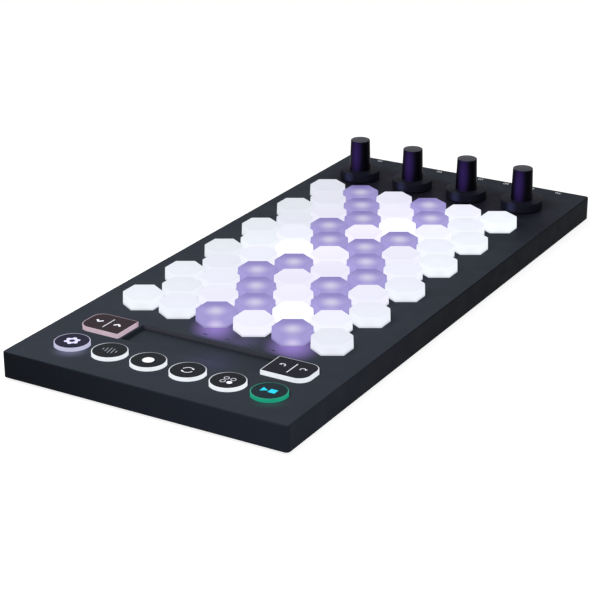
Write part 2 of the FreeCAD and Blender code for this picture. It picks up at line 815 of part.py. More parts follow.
def build_key_lamps(doc, s, levels):
    """Sixty-one small lamps on the board, one behind each pad."""
    body = new_body(doc, "key_lamps")

    def draw(sketch, x, y):
        centred_rectangle(sketch, x, y + s.lamp_offset, s.lamp_length, s.lamp_width)

    def raise_lamp(sketch, name):
        return pad(body, name, sketch, s.lamp_height)

    key_field(body, "lamp", s, levels, levels.board_top, draw, raise_lamp)
    return body


def build_key_row(doc, s, levels, row):
    """One row of separate silicone keys, each with a flange and a hollow below."""
    count = WIDE_ROW_KEYS if row % 2 == 0 else NARROW_ROW_KEYS
    body = new_body(doc, f"key_row_{row + 1:02d}", y=levels.first_row + levels.row_pitch * row)
    x = -(s.key_pitch * ((count - 1) / 2))
    slope = (s.key_width - s.key_top_width) / s.key_rise
    neck_width = s.key_width + slope * (levels.deck - levels.flange_top)
    top = levels.deck + s.key_rise
    hollow_top = levels.board_top + s.pad_height + s.key_travel + s.key_hollow_gap
    flange = new_sketch(body, "flange_outline", offset=levels.flange_bottom)
    hexagon(flange, x, 0, levels.flange_width)
    rim = pad(body, "flange", flange, s.key_flange)
    sections = []
    for name, height, width in (
            ("neck", levels.flange_top, neck_width),
            ("shoulder", top - s.key_bevel, s.key_top_width + slope * s.key_bevel),
            ("crown", top, s.key_top_width - s.key_bevel * 2)):
        sketch = new_sketch(body, f"{name}_outline", offset=height)
        hexagon(sketch, x, 0, width)
        sections.append(sketch)
    stem = loft(body, "stem", sections)
    hollow = new_sketch(body, "hollow_outline", offset=levels.flange_bottom)
    hexagon(hollow, x, 0, s.key_hollow_width)
    cut = pocket(body, "hollow", hollow, hollow_top - levels.flange_bottom, flip=True)
    repeat(body, "keys", [rim, stem, cut], (count, 1), (s.key_pitch, 1))
    return body


def build_button_cap(doc, s, levels, index):
    """Round translucent cap with a retaining flange, a stem and a face recess."""
    x = levels.first_button + s.button_pitch * index
    body = new_body(doc, f"button_cap_{index + 1}", x=x, y=levels.button_row)
    top = levels.deck + s.button_rise
    recess = top - s.face_thickness
    ceiling = recess - s.button_wall
    inner = s.button_radius - s.button_wall
    flange = s.button_radius + s.button_clearance + s.button_lip
    rim = s.button_radius - s.face_inset
    cap = half_section(body, "cap", [
        (0, levels.stem_bottom), (s.button_stem_radius, levels.stem_bottom),
        (s.button_stem_radius, ceiling), (inner, ceiling), (inner, levels.flange_bottom),
        (flange, levels.flange_bottom), (flange, levels.flange_top),
        (s.button_radius, levels.flange_top), (s.button_radius, top),
        (rim, top), (rim, recess), (0, recess),
    ])
    soften(body, "cap_edge", cap, s.cap_edge_bevel, ring_edge(top, s.button_radius), "Chamfer")
    return body


def build_button_face(doc, s, levels, index):
    """Dark disc that lies in the cap's recess."""
    x = levels.first_button + s.button_pitch * index
    body = new_body(doc, f"button_face_{index + 1}", x=x, y=levels.button_row)
    recess = levels.deck + s.button_rise - s.face_thickness
    disc = new_sketch(body, "face_outline", offset=recess)
    circle(disc, 0, 0, s.button_radius - s.face_inset - s.face_clearance)
    pad(body, "face", disc, s.face_thickness - s.face_clearance)
    return body


def build_rocker(doc, s, levels, name, side):
    """Two-way rocker: a shell with pivot pins front and back and two stems."""
    body = new_body(doc, f"rocker_{name}", x=levels.rocker_middle * side, y=levels.rocker_row)
    top = levels.deck + s.rocker_rise
    bottom = levels.deck - s.rocker_skirt
    outline = new_sketch(body, "cap_outline", offset=bottom)
    outline_rocker(outline, s, 0, 0, side, as_size(0))
    block = pad(body, "cap", outline, top - bottom)
    soften(body, "cap_edge", block, s.cap_edge_bevel, edge_at_height(top), "Chamfer")
    recess_floor = top - s.face_thickness
    ceiling = recess_floor - s.rocker_wall
    hollow = new_sketch(body, "hollow_outline", offset=bottom)
    outline_rocker(hollow, s, 0, 0, side, -s.rocker_wall, s.rocker_corner / 2)
    pocket(body, "hollow", hollow, ceiling - bottom, flip=True)
    recess = new_sketch(body, "recess_outline", offset=top)
    outline_rocker(recess, s, 0, 0, side, -s.rocker_rim, s.rocker_corner / 2)
    pocket(body, "recess", recess, s.face_thickness)
    pin = new_sketch(body, "pin_outline", "XZ_Plane", s.rocker_depth / 2 - s.rocker_wall / 2)
    circle(pin, 0, levels.pivot, s.pivot_radius)
    front_pin = pad(body, "pin", pin, s.pivot_length + s.rocker_wall / 2)
    mirror(body, "pins", [front_pin], "XZ_Plane")
    stem = new_sketch(body, "stem_outline", offset=levels.stem_bottom)
    circle(stem, -s.rocker_stem_spread, 0, s.button_stem_radius)
    post = pad(body, "stem", stem, ceiling - levels.stem_bottom + s.rocker_wall / 2)
    mirror(body, "stems", [post], "YZ_Plane")
    return body


def build_rocker_face(doc, s, levels, name, side):
    """Dark plate that lies in the rocker's recess."""
    body = new_body(doc, f"rocker_face_{name}", x=levels.rocker_middle * side, y=levels.rocker_row)
    outline = new_sketch(body, "face_outline", offset=levels.deck + s.rocker_rise - s.face_thickness)
    outline_rocker(outline, s, 0, 0, side, -s.rocker_rim - s.face_clearance, s.rocker_corner / 2)
    pad(body, "face", outline, s.face_thickness - s.face_clearance)
    return body


def build_switches(doc, s, levels):
    """Ten push switches: one under each round button, two under each rocker."""
    body = new_body(doc, "button_switches")
    row = new_sketch(body, "round_switch_outline", offset=levels.board_top)
    centred_rectangle(row, levels.first_button, levels.button_row, s.switch_width, s.switch_width)
    switch = pad(body, "round_switch", row, s.switch_height)
    repeat(body, "round_switches", [switch], (ROUND_BUTTONS, 1), (s.button_pitch, 1))
    for name, side in SIDES.items():
        pair = new_sketch(body, f"{name}_switch_outline", offset=levels.board_top)
        centred_rectangle(pair, levels.rocker_middle * side - s.rocker_stem_spread,
                          levels.rocker_row, s.switch_width, s.switch_width)
        switch = pad(body, f"{name}_switch", pair, s.switch_height)
        repeat(body, f"{name}_switches", [switch], (2, 1), (s.rocker_stem_spread * 2, 1))
    return body


def build_channel_sensor(doc, s, levels):
    """Touch strip bonded under the floor of the finger channel."""
    body = new_body(doc, "channel_sensor")
    outline = new_sketch(body, "strip_outline", offset=levels.channel_bottom - s.sensor_thickness)
    half = levels.channel_half - s.sensor_margin
    reach = s.channel_depth / 2 - s.sensor_margin
    rectangle(outline, -half, half, levels.channel_row - reach, levels.channel_row + reach)
    pad(body, "strip", outline, s.sensor_thickness)
    return body


def build_channel_windows(doc, s, levels):
    """Six light windows that fill the slots behind the channel."""
    body = new_body(doc, "channel_windows")
    outline = new_sketch(body, "window_outline", offset=levels.deck_under)
    slack = s.window_clearance * 2
    centred_rectangle(outline, -(s.window_pitch * ((WINDOWS - 1) / 2)),
                      s.window_from_front - levels.case_end,
                      s.window_length - slack, s.window_width - slack)
    window = pad(body, "window", outline, s.deck_thickness)
    repeat(body, "windows", [window], (WINDOWS, 1), (s.window_pitch, 1))
    return body


def build_knob(doc, s, levels, index):
    """Tall tapered knob on a wide hollow skirt, bored for a flatted shaft."""
    x = levels.first_knob + s.knob_pitch * index
    body = new_body(doc, f"knob_{index + 1}", x=x, y=levels.knob_row)
    bottom = levels.deck + s.knob_lift
    skirt_top = levels.deck + s.skirt_height
    ceiling = skirt_top - s.skirt_wall
    top = levels.deck + s.knob_height
    turned = half_section(body, "knob", [
        (0, ceiling), (s.skirt_radius - s.skirt_wall, ceiling),
        (s.skirt_radius - s.skirt_wall, bottom), (s.skirt_radius, bottom),
        (s.skirt_radius, skirt_top), (s.stalk_base_radius, skirt_top),
        (s.stalk_top_radius, top), (0, top),
    ])
    rim = soften(body, "skirt_edge", turned, s.skirt_edge_bevel,
                 ring_edge(skirt_top, s.skirt_radius), "Chamfer")
    crown = soften(body, "stalk_edge", rim, s.stalk_edge_bevel,
                   ring_edge(top, s.stalk_top_radius), "Chamfer")
    soften(body, "stalk_foot", crown, s.stalk_foot_round, ring_edge(skirt_top, s.stalk_base_radius))
    bore = new_sketch(body, "bore_outline", offset=ceiling)
    outline_flatted(bore, s.shaft_radius + s.shaft_fit, s.shaft_flat + s.shaft_fit)
    pocket(body, "bore", bore, levels.shaft_top - ceiling + s.shaft_fit, flip=True)
    return body


def outline_flatted(sketch, radius, flat):
    """Draw a circle cut by a flat at a distance in front of its centre."""
    reach = math.sqrt(radius.value ** 2 - flat.value ** 2)
    start = math.atan2(-flat.value, reach)
    end = math.atan2(-flat.value, -reach) + 2 * math.pi
    ring = Part.Circle(FreeCAD.Vector(0, 0, 0), FreeCAD.Vector(0, 0, 1), radius.value)
    arc = sketch.addGeometry(Part.ArcOfCircle(ring, start, end), False)
    chord = Part.LineSegment(FreeCAD.Vector(-reach, -flat.value, 0), FreeCAD.Vector(reach, -flat.value, 0))
    line = sketch.addGeometry(chord, False)
    sketch.addConstraint(Sketcher.Constraint("Coincident", arc, 2, line, 1))
    sketch.addConstraint(Sketcher.Constraint("Coincident", line, 2, arc, 1))
    sketch.addConstraint(Sketcher.Constraint("Horizontal", line))
    sketch.addConstraint(Sketcher.Constraint("Coincident", arc, 3, -1, 1))
    bind(sketch, "Radius", (arc,), radius)
    bind(sketch, "DistanceY", (-1, 1, line, 1), -flat)


def build_encoder_shaft(doc, s, levels, index):
    """Encoder shaft: flatted where the knob grips it, thinner in the rotor."""
    x = levels.first_knob + s.knob_pitch * index
    body = new_body(doc, f"encoder_shaft_{index + 1}", x=x, y=levels.knob_row)
    step = levels.cavity_roof - s.knob_travel
    foot = levels.cavity_floor + s.knob_travel + s.shaft_end_gap
    journal = new_sketch(body, "journal_outline", offset=foot)
    circle(journal, 0, 0, s.journal_radius)
    pad(body, "journal", journal, step - foot)
    rod = new_sketch(body, "rod_outline", offset=step)
    circle(rod, 0, 0, s.shaft_radius)
    flat_start = levels.deck + s.skirt_height - s.skirt_wall - s.shaft_fit
    pad(body, "rod", rod, flat_start - step)
    flatted = new_sketch(body, "flatted_outline", offset=flat_start)
    outline_flatted(flatted, s.shaft_radius, s.shaft_flat)
    pad(body, "flatted_end", flatted, levels.shaft_top - flat_start)
    return body


def build_encoder_rotor(doc, s, levels, index):
    """Ring inside the encoder that turns with the shaft and lets it slide."""
    x = levels.first_knob + s.knob_pitch * index
    body = new_body(doc, f"encoder_rotor_{index + 1}", x=x, y=levels.knob_row)
    top = levels.cavity_roof - s.rotor_drop
    half_section(body, "rotor", [
        (s.journal_radius + s.running_clearance, top - s.rotor_height),
        (s.rotor_radius, top - s.rotor_height), (s.rotor_radius, top),
        (s.journal_radius + s.running_clearance, top),
    ])
    return body


def build_encoder_housings(doc, s, levels):
    """Four encoder housings with their bushings through the deck."""
    body = new_body(doc, "encoder_housings")
    box = new_sketch(body, "housing_outline", offset=levels.rear_top)
    centred_rectangle(box, levels.first_knob, levels.knob_row, s.encoder_width, s.encoder_depth)
    shell = pad(body, "housing", box, levels.deck_under - levels.rear_top)
    neck = new_sketch(body, "bushing_outline", offset=levels.deck_under)
    circle(neck, levels.first_knob, levels.knob_row, s.bushing_radius)
    bushing = pad(body, "bushing", neck, s.bushing_height)
    room = new_sketch(body, "cavity_outline", offset=levels.cavity_floor)
    circle(room, levels.first_knob, levels.knob_row, s.cavity_radius)
    cavity = pocket(body, "cavity", room, levels.cavity_roof - levels.cavity_floor, flip=True)
    bore = new_sketch(body, "bore_outline", offset=levels.deck_under + s.bushing_height)
    circle(bore, levels.first_knob, levels.knob_row, s.shaft_radius + s.running_clearance)
    drill = pocket(body, "bore", bore, s.bushing_height + s.encoder_roof + s.knob_travel)
    repeat(body, "housings", [shell, bushing, cavity, drill], (KNOBS, 1), (s.knob_pitch, 1))
    return body


def build_encoder_nuts(doc, s, levels):
    """Four nuts that clamp the bushings to the deck, under the knob skirts."""
    body = new_body(doc, "encoder_nuts")
    outline = new_sketch(body, "nut_outline", offset=levels.deck)
    hexagon(outline, levels.first_knob, levels.knob_row, s.nut_across)
    circle(outline, levels.first_knob, levels.knob_row, s.bushing_radius + s.shaft_fit)
    nut = pad(body, "nut", outline, s.nut_height)
    repeat(body, "nuts", [nut], (KNOBS, 1), (s.knob_pitch, 1))
    return body


def build_jack_sockets(doc, s, levels):
    """Five jack sockets: a body on the rear board and a bored nose in the wall."""
    body = new_body(doc, "jack_sockets")
    inner_face = levels.inner_end - s.jack_wall_gap
    nose_end = levels.case_end - s.wall_reveal
    for label, x, count in (("row", s.jack_first, PAIRED_JACKS), ("single", s.jack_single, 1)):
        box = new_sketch(body, f"{label}_outline", offset=levels.rear_top)
        rectangle(box, x - s.jack_width / 2, x + s.jack_width / 2, inner_face - s.jack_depth, inner_face)
        block = pad(body, f"{label}_body", box, s.jack_height)
        nose = new_sketch(body, f"{label}_nose_outline", "XZ_Plane", -nose_end)
        circle(nose, x, levels.jack_axis, s.jack_nose_radius)
        tube = pad(body, f"{label}_nose", nose, nose_end - inner_face + s.wall_reveal)
        bore = new_sketch(body, f"{label}_bore_outline", "XZ_Plane", -nose_end)
        circle(bore, x, levels.jack_axis, s.jack_bore_radius)
        drill = pocket(body, f"{label}_bore", bore, s.jack_bore_depth, flip=True)
        if count > 1:
            repeat(body, f"{label}_copies", [block, tube, drill], (count, 1), (s.jack_pitch, 1))
    return body


def build_usb_socket(doc, s, levels):
    """USB-C socket: a thin rounded shell with its tongue."""
    body = new_body(doc, "usb_socket")
    face = levels.case_end - s.wall_reveal
    shell = new_sketch(body, "shell_outline", "XZ_Plane", -face)
    outline_usb(shell, s, levels, as_size(0))
    pad(body, "shell", shell, s.usb_depth)
    mouth = new_sketch(body, "mouth_outline", "XZ_Plane", -face)
    outline_usb(mouth, s, levels, -s.usb_shell)
    pocket(body, "mouth", mouth, s.usb_depth - s.usb_back, flip=True)
    tongue = new_sketch(body, "tongue_outline", "XZ_Plane", -(face - s.usb_depth + s.usb_shell))
    centred_rectangle(tongue, s.usb_from_middle, levels.usb_middle, s.usb_tongue_width, s.usb_tongue)
    pad(body, "tongue", tongue, s.usb_tongue_length, flip=True)
    return body


def build_all(doc, s, levels):
    """Build every sub-part and return the bodies."""
    bodies = [
        build_top_cover(doc, s, levels),
        build_base_plate(doc, s, levels),
        build_rubber_feet(doc, s, levels),
        build_case_screws(doc, s, levels),
        build_main_board(doc, s, levels),
        build_rear_board(doc, s, levels),
        build_board_link(doc, s, levels),
        build_key_frame(doc, s, levels),
        build_sensor_pads(doc, s, levels),
        build_key_lamps(doc, s, levels),
        build_switches(doc, s, levels),
        build_channel_sensor(doc, s, levels),
        build_channel_windows(doc, s, levels),
        build_encoder_housings(doc, s, levels),
        build_encoder_nuts(doc, s, levels),
        build_jack_sockets(doc, s, levels),
        build_usb_socket(doc, s, levels),
    ]
    bodies += [build_key_row(doc, s, levels, row) for row in range(KEY_ROWS)]
    for index in range(ROUND_BUTTONS):
        bodies.append(build_button_cap(doc, s, levels, index))
        bodies.append(build_button_face(doc, s, levels, index))
    for name, side in SIDES.items():
        bodies.append(build_rocker(doc, s, levels, name, side))
        bodies.append(build_rocker_face(doc, s, levels, name, side))
    for index in range(KNOBS):
        bodies.append(build_knob(doc, s, levels, index))
        bodies.append(build_encoder_shaft(doc, s, levels, index))
        bodies.append(build_encoder_rotor(doc, s, levels, index))
    return bodies


def check_document(doc, bodies):
    """Stop when a feature failed, a cut removed nothing or a shape is unsound."""
    for item in doc.Objects:
        faults = [state for state in item.State if state in ("Invalid", "Error")]
        if faults:
            raise RuntimeError(f"{item.Label} is {faults}")
    for body in bodies:
        steps = [item for item in body.Group if item.TypeId.startswith("PartDesign::")]
        for before, after in zip(steps, steps[1:]):
            if abs(before.Shape.Volume - after.Shape.Volume) < SAME_VOLUME:
                raise RuntimeError(f"{body.Label} {after.Label} changes nothing")
        if body.Shape.isNull() or not body.Shape.isValid() or not body.Shape.Solids:
            raise RuntimeError(f"{body.Label} has no sound shape")


def main():
    """Build the document, check it and write one file per sub-part."""
    doc = FreeCAD.newDocument("controller")
    sizes = Sheet(doc, SIZES)
    doc.recompute()
    bodies = build_all(doc, sizes, Levels(sizes))
    doc.recompute()
    check_document(doc, bodies)
    os.makedirs("parts", exist_ok=True)
    for body in bodies:
        body.Shape.exportStep(f"parts/{body.Label}.step")
        print(f"{body.Label}: {len(body.Shape.Solids)} solids, {body.Shape.Volume:.1f} mm3")


main()
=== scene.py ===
"""Looks of a desktop music controller with sixty-one lit hexagonal keys.

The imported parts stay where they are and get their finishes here. Shaped
pieces stand in for the keys and the knobs, and thin prints lie on the buttons.
Lengths in the dataclasses are millimetres; meshes and coordinates are metres.
"""

from __future__ import annotations

import logging
import math
import random
from collections.abc import Callable, Iterable, Iterator, Mapping, Sequence
from dataclasses import dataclass, replace
from enum import Enum
from functools import cached_property
import bmesh
import bpy
from bmesh.types import BMEdge, BMesh, BMFace, BMVert
from bpy.types import Material, Node, NodeSocket, Object, World
from mathutils import Matrix, Vector


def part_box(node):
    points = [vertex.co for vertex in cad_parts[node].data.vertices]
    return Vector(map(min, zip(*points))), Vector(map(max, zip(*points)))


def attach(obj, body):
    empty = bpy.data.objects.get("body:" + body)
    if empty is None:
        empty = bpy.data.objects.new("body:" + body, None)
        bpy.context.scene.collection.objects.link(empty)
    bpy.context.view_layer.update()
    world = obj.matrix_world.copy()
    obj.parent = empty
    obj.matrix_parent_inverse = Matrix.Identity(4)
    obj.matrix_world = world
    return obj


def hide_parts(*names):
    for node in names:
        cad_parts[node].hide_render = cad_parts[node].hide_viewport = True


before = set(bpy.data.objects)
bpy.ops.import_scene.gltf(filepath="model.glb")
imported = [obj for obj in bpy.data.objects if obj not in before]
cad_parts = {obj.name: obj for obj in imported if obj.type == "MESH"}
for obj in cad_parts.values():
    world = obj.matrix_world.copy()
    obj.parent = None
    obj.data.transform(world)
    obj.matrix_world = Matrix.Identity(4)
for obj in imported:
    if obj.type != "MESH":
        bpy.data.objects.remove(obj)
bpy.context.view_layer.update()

LOG = logging.getLogger("controller")
MM = 0.001
PHOTO_SIZE = (590, 591)
KEY_PLACE = "key_place"
KEY_LIGHT = "key_light"
KNOB_PLACE = "knob_place"
TOWARDS_PLAYER = Vector((0.506, -0.862, 0.0))
PLAYER_TURN = math.atan2(TOWARDS_PLAYER.y, TOWARDS_PLAYER.x)
ROUND = Vector((1.0, 1.0, 1.0))
SMOOTH_BELOW = math.radians(40)
MERGE_WITHIN = 1e-7  # metres
RING_WITHIN = 1e-6  # metres
PRINT_HEIGHT = 0.05  # millimetres
PRINT_STEPS = 32
RING_STEPS = 36
NOISE_LOW, NOISE_HIGH = 0.3, 0.7  # smooth noise lies mostly between these
STRIPES = 6.28  # the wave texture's scale is one over its stripes' width times this


def linear(code: str) -> tuple[float, float, float, float]:
    """Turn an sRGB hex colour into linear light.

    Args:
        code: A hash sign and six hex digits.

    Returns:
        Red, green, blue and an alpha of one.
    """
    parts = [int(code[i:i + 2], 16) / 255 for i in (1, 3, 5)]
    red, green, blue = (c / 12.92 if c <= 0.04045 else ((c + 0.055) / 1.055) ** 2.4 for c in parts)
    return red, green, blue, 1.0


def low(node: str) -> Vector:
    """Return a CAD node's lowest corner at rest."""
    return Vector(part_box(node)[0])


def high(node: str) -> Vector:
    """Return a CAD node's highest corner at rest."""
    return Vector(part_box(node)[1])


def middle(node: str) -> Vector:
    """Return the middle of a CAD node's box at rest."""
    return (low(node) + high(node)) / 2


class Shade:
    """What puts a node tree together: every finish builds its material with it."""

    name: str
    kind = "materials"

    @cached_property
    def owner(self) -> Material | World:
        """Start the material or world with an empty tree.

        Returns:
            The new material or world.
        """
        owner = getattr(bpy.data, self.kind).new(self.name)
        owner.use_nodes = True
        owner.node_tree.nodes.clear()
        return owner

    def add(self, kind: str, inputs: Mapping[str | int, object] | None = None, **settings: object) -> Node:
        """Add a node, set its properties and fill or link its inputs.

        Args:
            kind: The node's type without its ShaderNode prefix.
            inputs: Values or sockets by input name or number.
            settings: Properties of the node.

        Returns:
            The new node.
        """
        tree = self.owner.node_tree
        node = tree.nodes.new(f"ShaderNode{kind}")
        for name, value in settings.items():
            setattr(node, name, value)
        for key, value in (inputs or {}).items():
            if isinstance(value, NodeSocket):
                tree.links.new(value, node.inputs[key])
            else:
                node.inputs[key].default_value = value
        return node

    @cached_property
    def place(self) -> NodeSocket:
        """Return the object coordinates, in metres in the shared frame."""
        return self.add("TexCoord").outputs["Object"]

    def looked_at(self) -> NodeSocket:
        """Tell rays from the camera, a mirror or glass from the others.

        Returns:
            One for such rays, else nought.
        """
        path = self.add("LightPath")
        seen = path.outputs["Is Camera Ray"]
        for kind in ("Is Glossy Ray", "Is Transmission Ray"):
            seen = self.add("Math", {0: seen, 1: path.outputs[kind]}, operation="MAXIMUM").outputs[0]
        return seen

    def halo(self, place: NodeSocket, centre: Vector, radii: Vector) -> NodeSocket:
        """Fade smoothly from one at a centre to nought at an ellipsoid's skin.

        Args:
            place: Coordinates in metres.
            centre: Middle of the halo in metres.
            radii: Reach towards the player, across and upwards in metres.

        Returns:
            The fading value.
        """
        moved = self.add("Mapping", {"Vector": place, "Location": centre, "Scale": radii,
                                     "Rotation": (0, 0, PLAYER_TURN)}, vector_type="TEXTURE")
        ball = self.add("TexGradient", {"Vector": moved.outputs[0]}, gradient_type="SPHERICAL")
        return self.ease(ball.outputs["Fac"], 0.0, 1.0)

    def ease(self, value: NodeSocket, start: float, end: float) -> NodeSocket:
        """Rise smoothly from nought to one between two values."""
        rise = self.add("MapRange", {"Value": value, "From Min": start, "From Max": end},
                        interpolation_type="SMOOTHSTEP")
        return rise.outputs["Result"]

    def rough_normal(self, place: NodeSocket, pitch: float, depth: float) -> NodeSocket:
        """Bend the normal with fine noise of a pitch and a depth in millimetres."""
        noise = self.add("TexNoise", {"Vector": place, "Scale": 1 / (pitch * MM), "Detail": 3.0})
        return self.add("Bump", {"Height": noise.outputs["Fac"], "Distance": depth * MM,
                                 "Strength": 1.0}).outputs["Normal"]

    def inside(self, place: NodeSocket, least: Vector, most: Vector) -> NodeSocket:
        """Return one inside a box and nought outside it.

        Args:
            place: Coordinates in metres.
            least: The box's lowest corner in metres.
            most: Its highest corner in metres.

        Returns:
            The mask.
        """
        half = (most - least) / 2
        scale = Vector(1 / h for h in half)
        shift = Vector(-c * s for c, s in zip((least + most) / 2, scale))
        moved = self.add("Mapping", {"Vector": place, "Scale": scale, "Location": shift})
        away = self.add("VectorMath", {0: moved.outputs[0]}, operation="ABSOLUTE")
        farthest, *others = self.add("SeparateXYZ", {0: away.outputs[0]}).outputs
        for axis in others:
            farthest = self.add("Math", {0: farthest, 1: axis}, operation="MAXIMUM").outputs[0]
        return self.add("Math", {0: farthest, 1: 1.0}, operation="LESS_THAN").outputs[0]

    def spread(self, place: NodeSocket, pitch: float, least: float, most: float) -> NodeSocket:
        """Vary a number between two limits in slow patches of a pitch in millimetres."""
        noise = self.add("TexNoise", {"Vector": place, "Scale": 1 / (pitch * MM), "Detail": 2.0})
        return self.add("MapRange", {
            "Value": noise.outputs["Fac"], "From Min": NOISE_LOW, "From Max": NOISE_HIGH,
            "To Min": least, "To Max": most}).outputs["Result"]

    def mottle(self, place: NodeSocket, colour: str, pitch: float, lift: float) -> NodeSocket:
        """Vary a hex colour between itself and one lighter by a lift, in patches of a pitch."""
        dark = linear(colour)
        return self.coats(dark, (self.spread(place, pitch, 0.0, 1.0), [c * lift for c in dark[:3]] + [1.0]))

    def coats(self, base: object, *coats: tuple[NodeSocket, object]) -> NodeSocket:
        """Lay colours over a base one after the other, each where its mask is one.

        Args:
            base: A hex colour, linear values or a socket.
            coats: The masks and the colours, the lowest first.

        Returns:
            The colour on top.
        """
        for mask, coat in coats:
            below, above = (linear(tint) if isinstance(tint, str) else tint for tint in (base, coat))
            base = self.add("Mix", {"Factor": mask, 6: below, 7: above}, data_type="RGBA").outputs[2]
        return base

    def product(self, value: NodeSocket, *shares: NodeSocket | float) -> NodeSocket:
        """Multiply a value by one share after the other.

        Args:
            value: The value.
            shares: Masks or numbers.

        Returns:
            The product.
        """
        for share in shares:
            value = self.add("Math", {0: value, 1: share}, operation="MULTIPLY").outputs[0]
        return value


@dataclass(frozen=True)
class Finish(Shade):
    """The surface of one real material, which it is named for."""

    name: str
    colour: str

    def make(self) -> Material:
        """Build and return the material."""
        self.add("OutputMaterial", {"Surface": self.skin().outputs[0]})
        return self.owner

    def skin(self) -> Node:
        """Return the surface shader; each finish builds its own."""
        raise NotImplementedError


@dataclass(frozen=True)
class Moulded(Finish):
    """Injection-moulded plastic or rubber: one pigment under a spark-eroded grain.

    The grain breaks highlights up, and handling leaves slow patches that are a
    little smoother than the rest.
    """

    roughness: float
    grain: float = 0.5
    depth: float = 0.01
    specular: float = 0.1
    ior: float = 1.46
    pigment: float = 18.0
    pigment_lift: float = 1.12
    handling: float = 9.0
    polish: float = 0.04

    def skin(self) -> Node:
        """Build the surface shader.

        Returns:
            The shader's node.
        """
        rough = self.spread(self.place, self.handling, self.roughness - self.polish,
                            self.roughness + self.polish)
        return self.add("BsdfPrincipled", {
            "Base Color": self.paint(), "Roughness": rough, "IOR": self.ior,
            "Specular IOR Level": self.specular, **self.painted_light(),
            "Normal": self.rough_normal(self.place, self.grain, self.depth)})

    def paint(self) -> NodeSocket:
        """Return the colour: the pigment with its slow mottle."""
        return self.mottle(self.place, self.colour, self.pigment, self.pigment_lift)

    def painted_light(self) -> dict[str, object]:
        """Return the shader inputs for painted light from lit pieces nearby: none here."""
        return {}


@dataclass(frozen=True)
class Pool:
    """A place on a piece where painted light gathers, out from its middle towards the player."""

    out: float
    up: float
    reach: Vector
    bearing: float = 0.0

    def mask(self, finish: Finish, spot: NodeSocket) -> NodeSocket:
        """Fade from one at the place to nought at its reach."""
        facing = Matrix.Rotation(math.radians(self.bearing), 3, "Z") @ TOWARDS_PLAYER * self.out
        return finish.halo(spot, (facing + Vector((0, 0, self.up))) * MM, self.reach * MM)


@dataclass(frozen=True)
class PaintedSheenGloss(Moulded):
    """Glossy moulded plastic beside the keys, with a painted reflection: a violet streak of the keys' light
    lies on the side that faces them.

    The streak's place is measured from the foot of the knob that wears it, and
    it stays towards the keys while the knob turns under it.
    """

    # Colour of the painted streak's glow.
    glow: str = "#000000"
    streak: Pool = Pool(0.0, 0.0, ROUND)

    def painted_light(self) -> dict[str, object]:
        """Paint the streak's glow, a painted reflection of the keys' light.

        Returns:
            The emission's colour and strength inputs.
        """
        worn = self.add("Attribute", attribute_name=KNOB_PLACE).outputs["Vector"]
        still = self.add("VectorTransform", {"Vector": worn}, vector_type="VECTOR",
                         convert_from="OBJECT", convert_to="WORLD")
        return {"Emission Color": linear(self.glow),
                "Emission Strength": self.streak.mask(self, still.outputs["Vector"])}


@dataclass(frozen=True)
class Plated(Finish):
    """Nickel-plated or blackened steel: turned or stamped, with fine drawn lines.

    The lines stretch the highlight along one axis, as a machined face does.
    """

    roughness: float
    lines: Vector = Vector((1.0, 1.0, 12.0))
    line_pitch: float = 0.4
    line_depth: float = 0.004
    patch: float = 0.8
    swing: float = 0.08

    def skin(self) -> Node:
        """Build the surface shader.

        Returns:
            The shader's node.
        """
        drawn = self.add("Mapping", {"Vector": self.place, "Scale": self.lines}).outputs[0]
        rough = self.spread(drawn, self.patch, self.roughness - self.swing, self.roughness + self.swing)
        return self.add("BsdfPrincipled", {
            "Base Color": linear(self.colour), "Metallic": 1.0, "Roughness": rough,
            "Normal": self.rough_normal(drawn, self.line_pitch, self.line_depth)})


@dataclass(frozen=True)
class PaintedSpill:
    """A pool and reflection of a lit piece's light, painted on the deck on the player's side of it."""

    x: float
    y: float
    along: float
    across: float
    colour: str
    strength: float
    upwards: float = 8.0


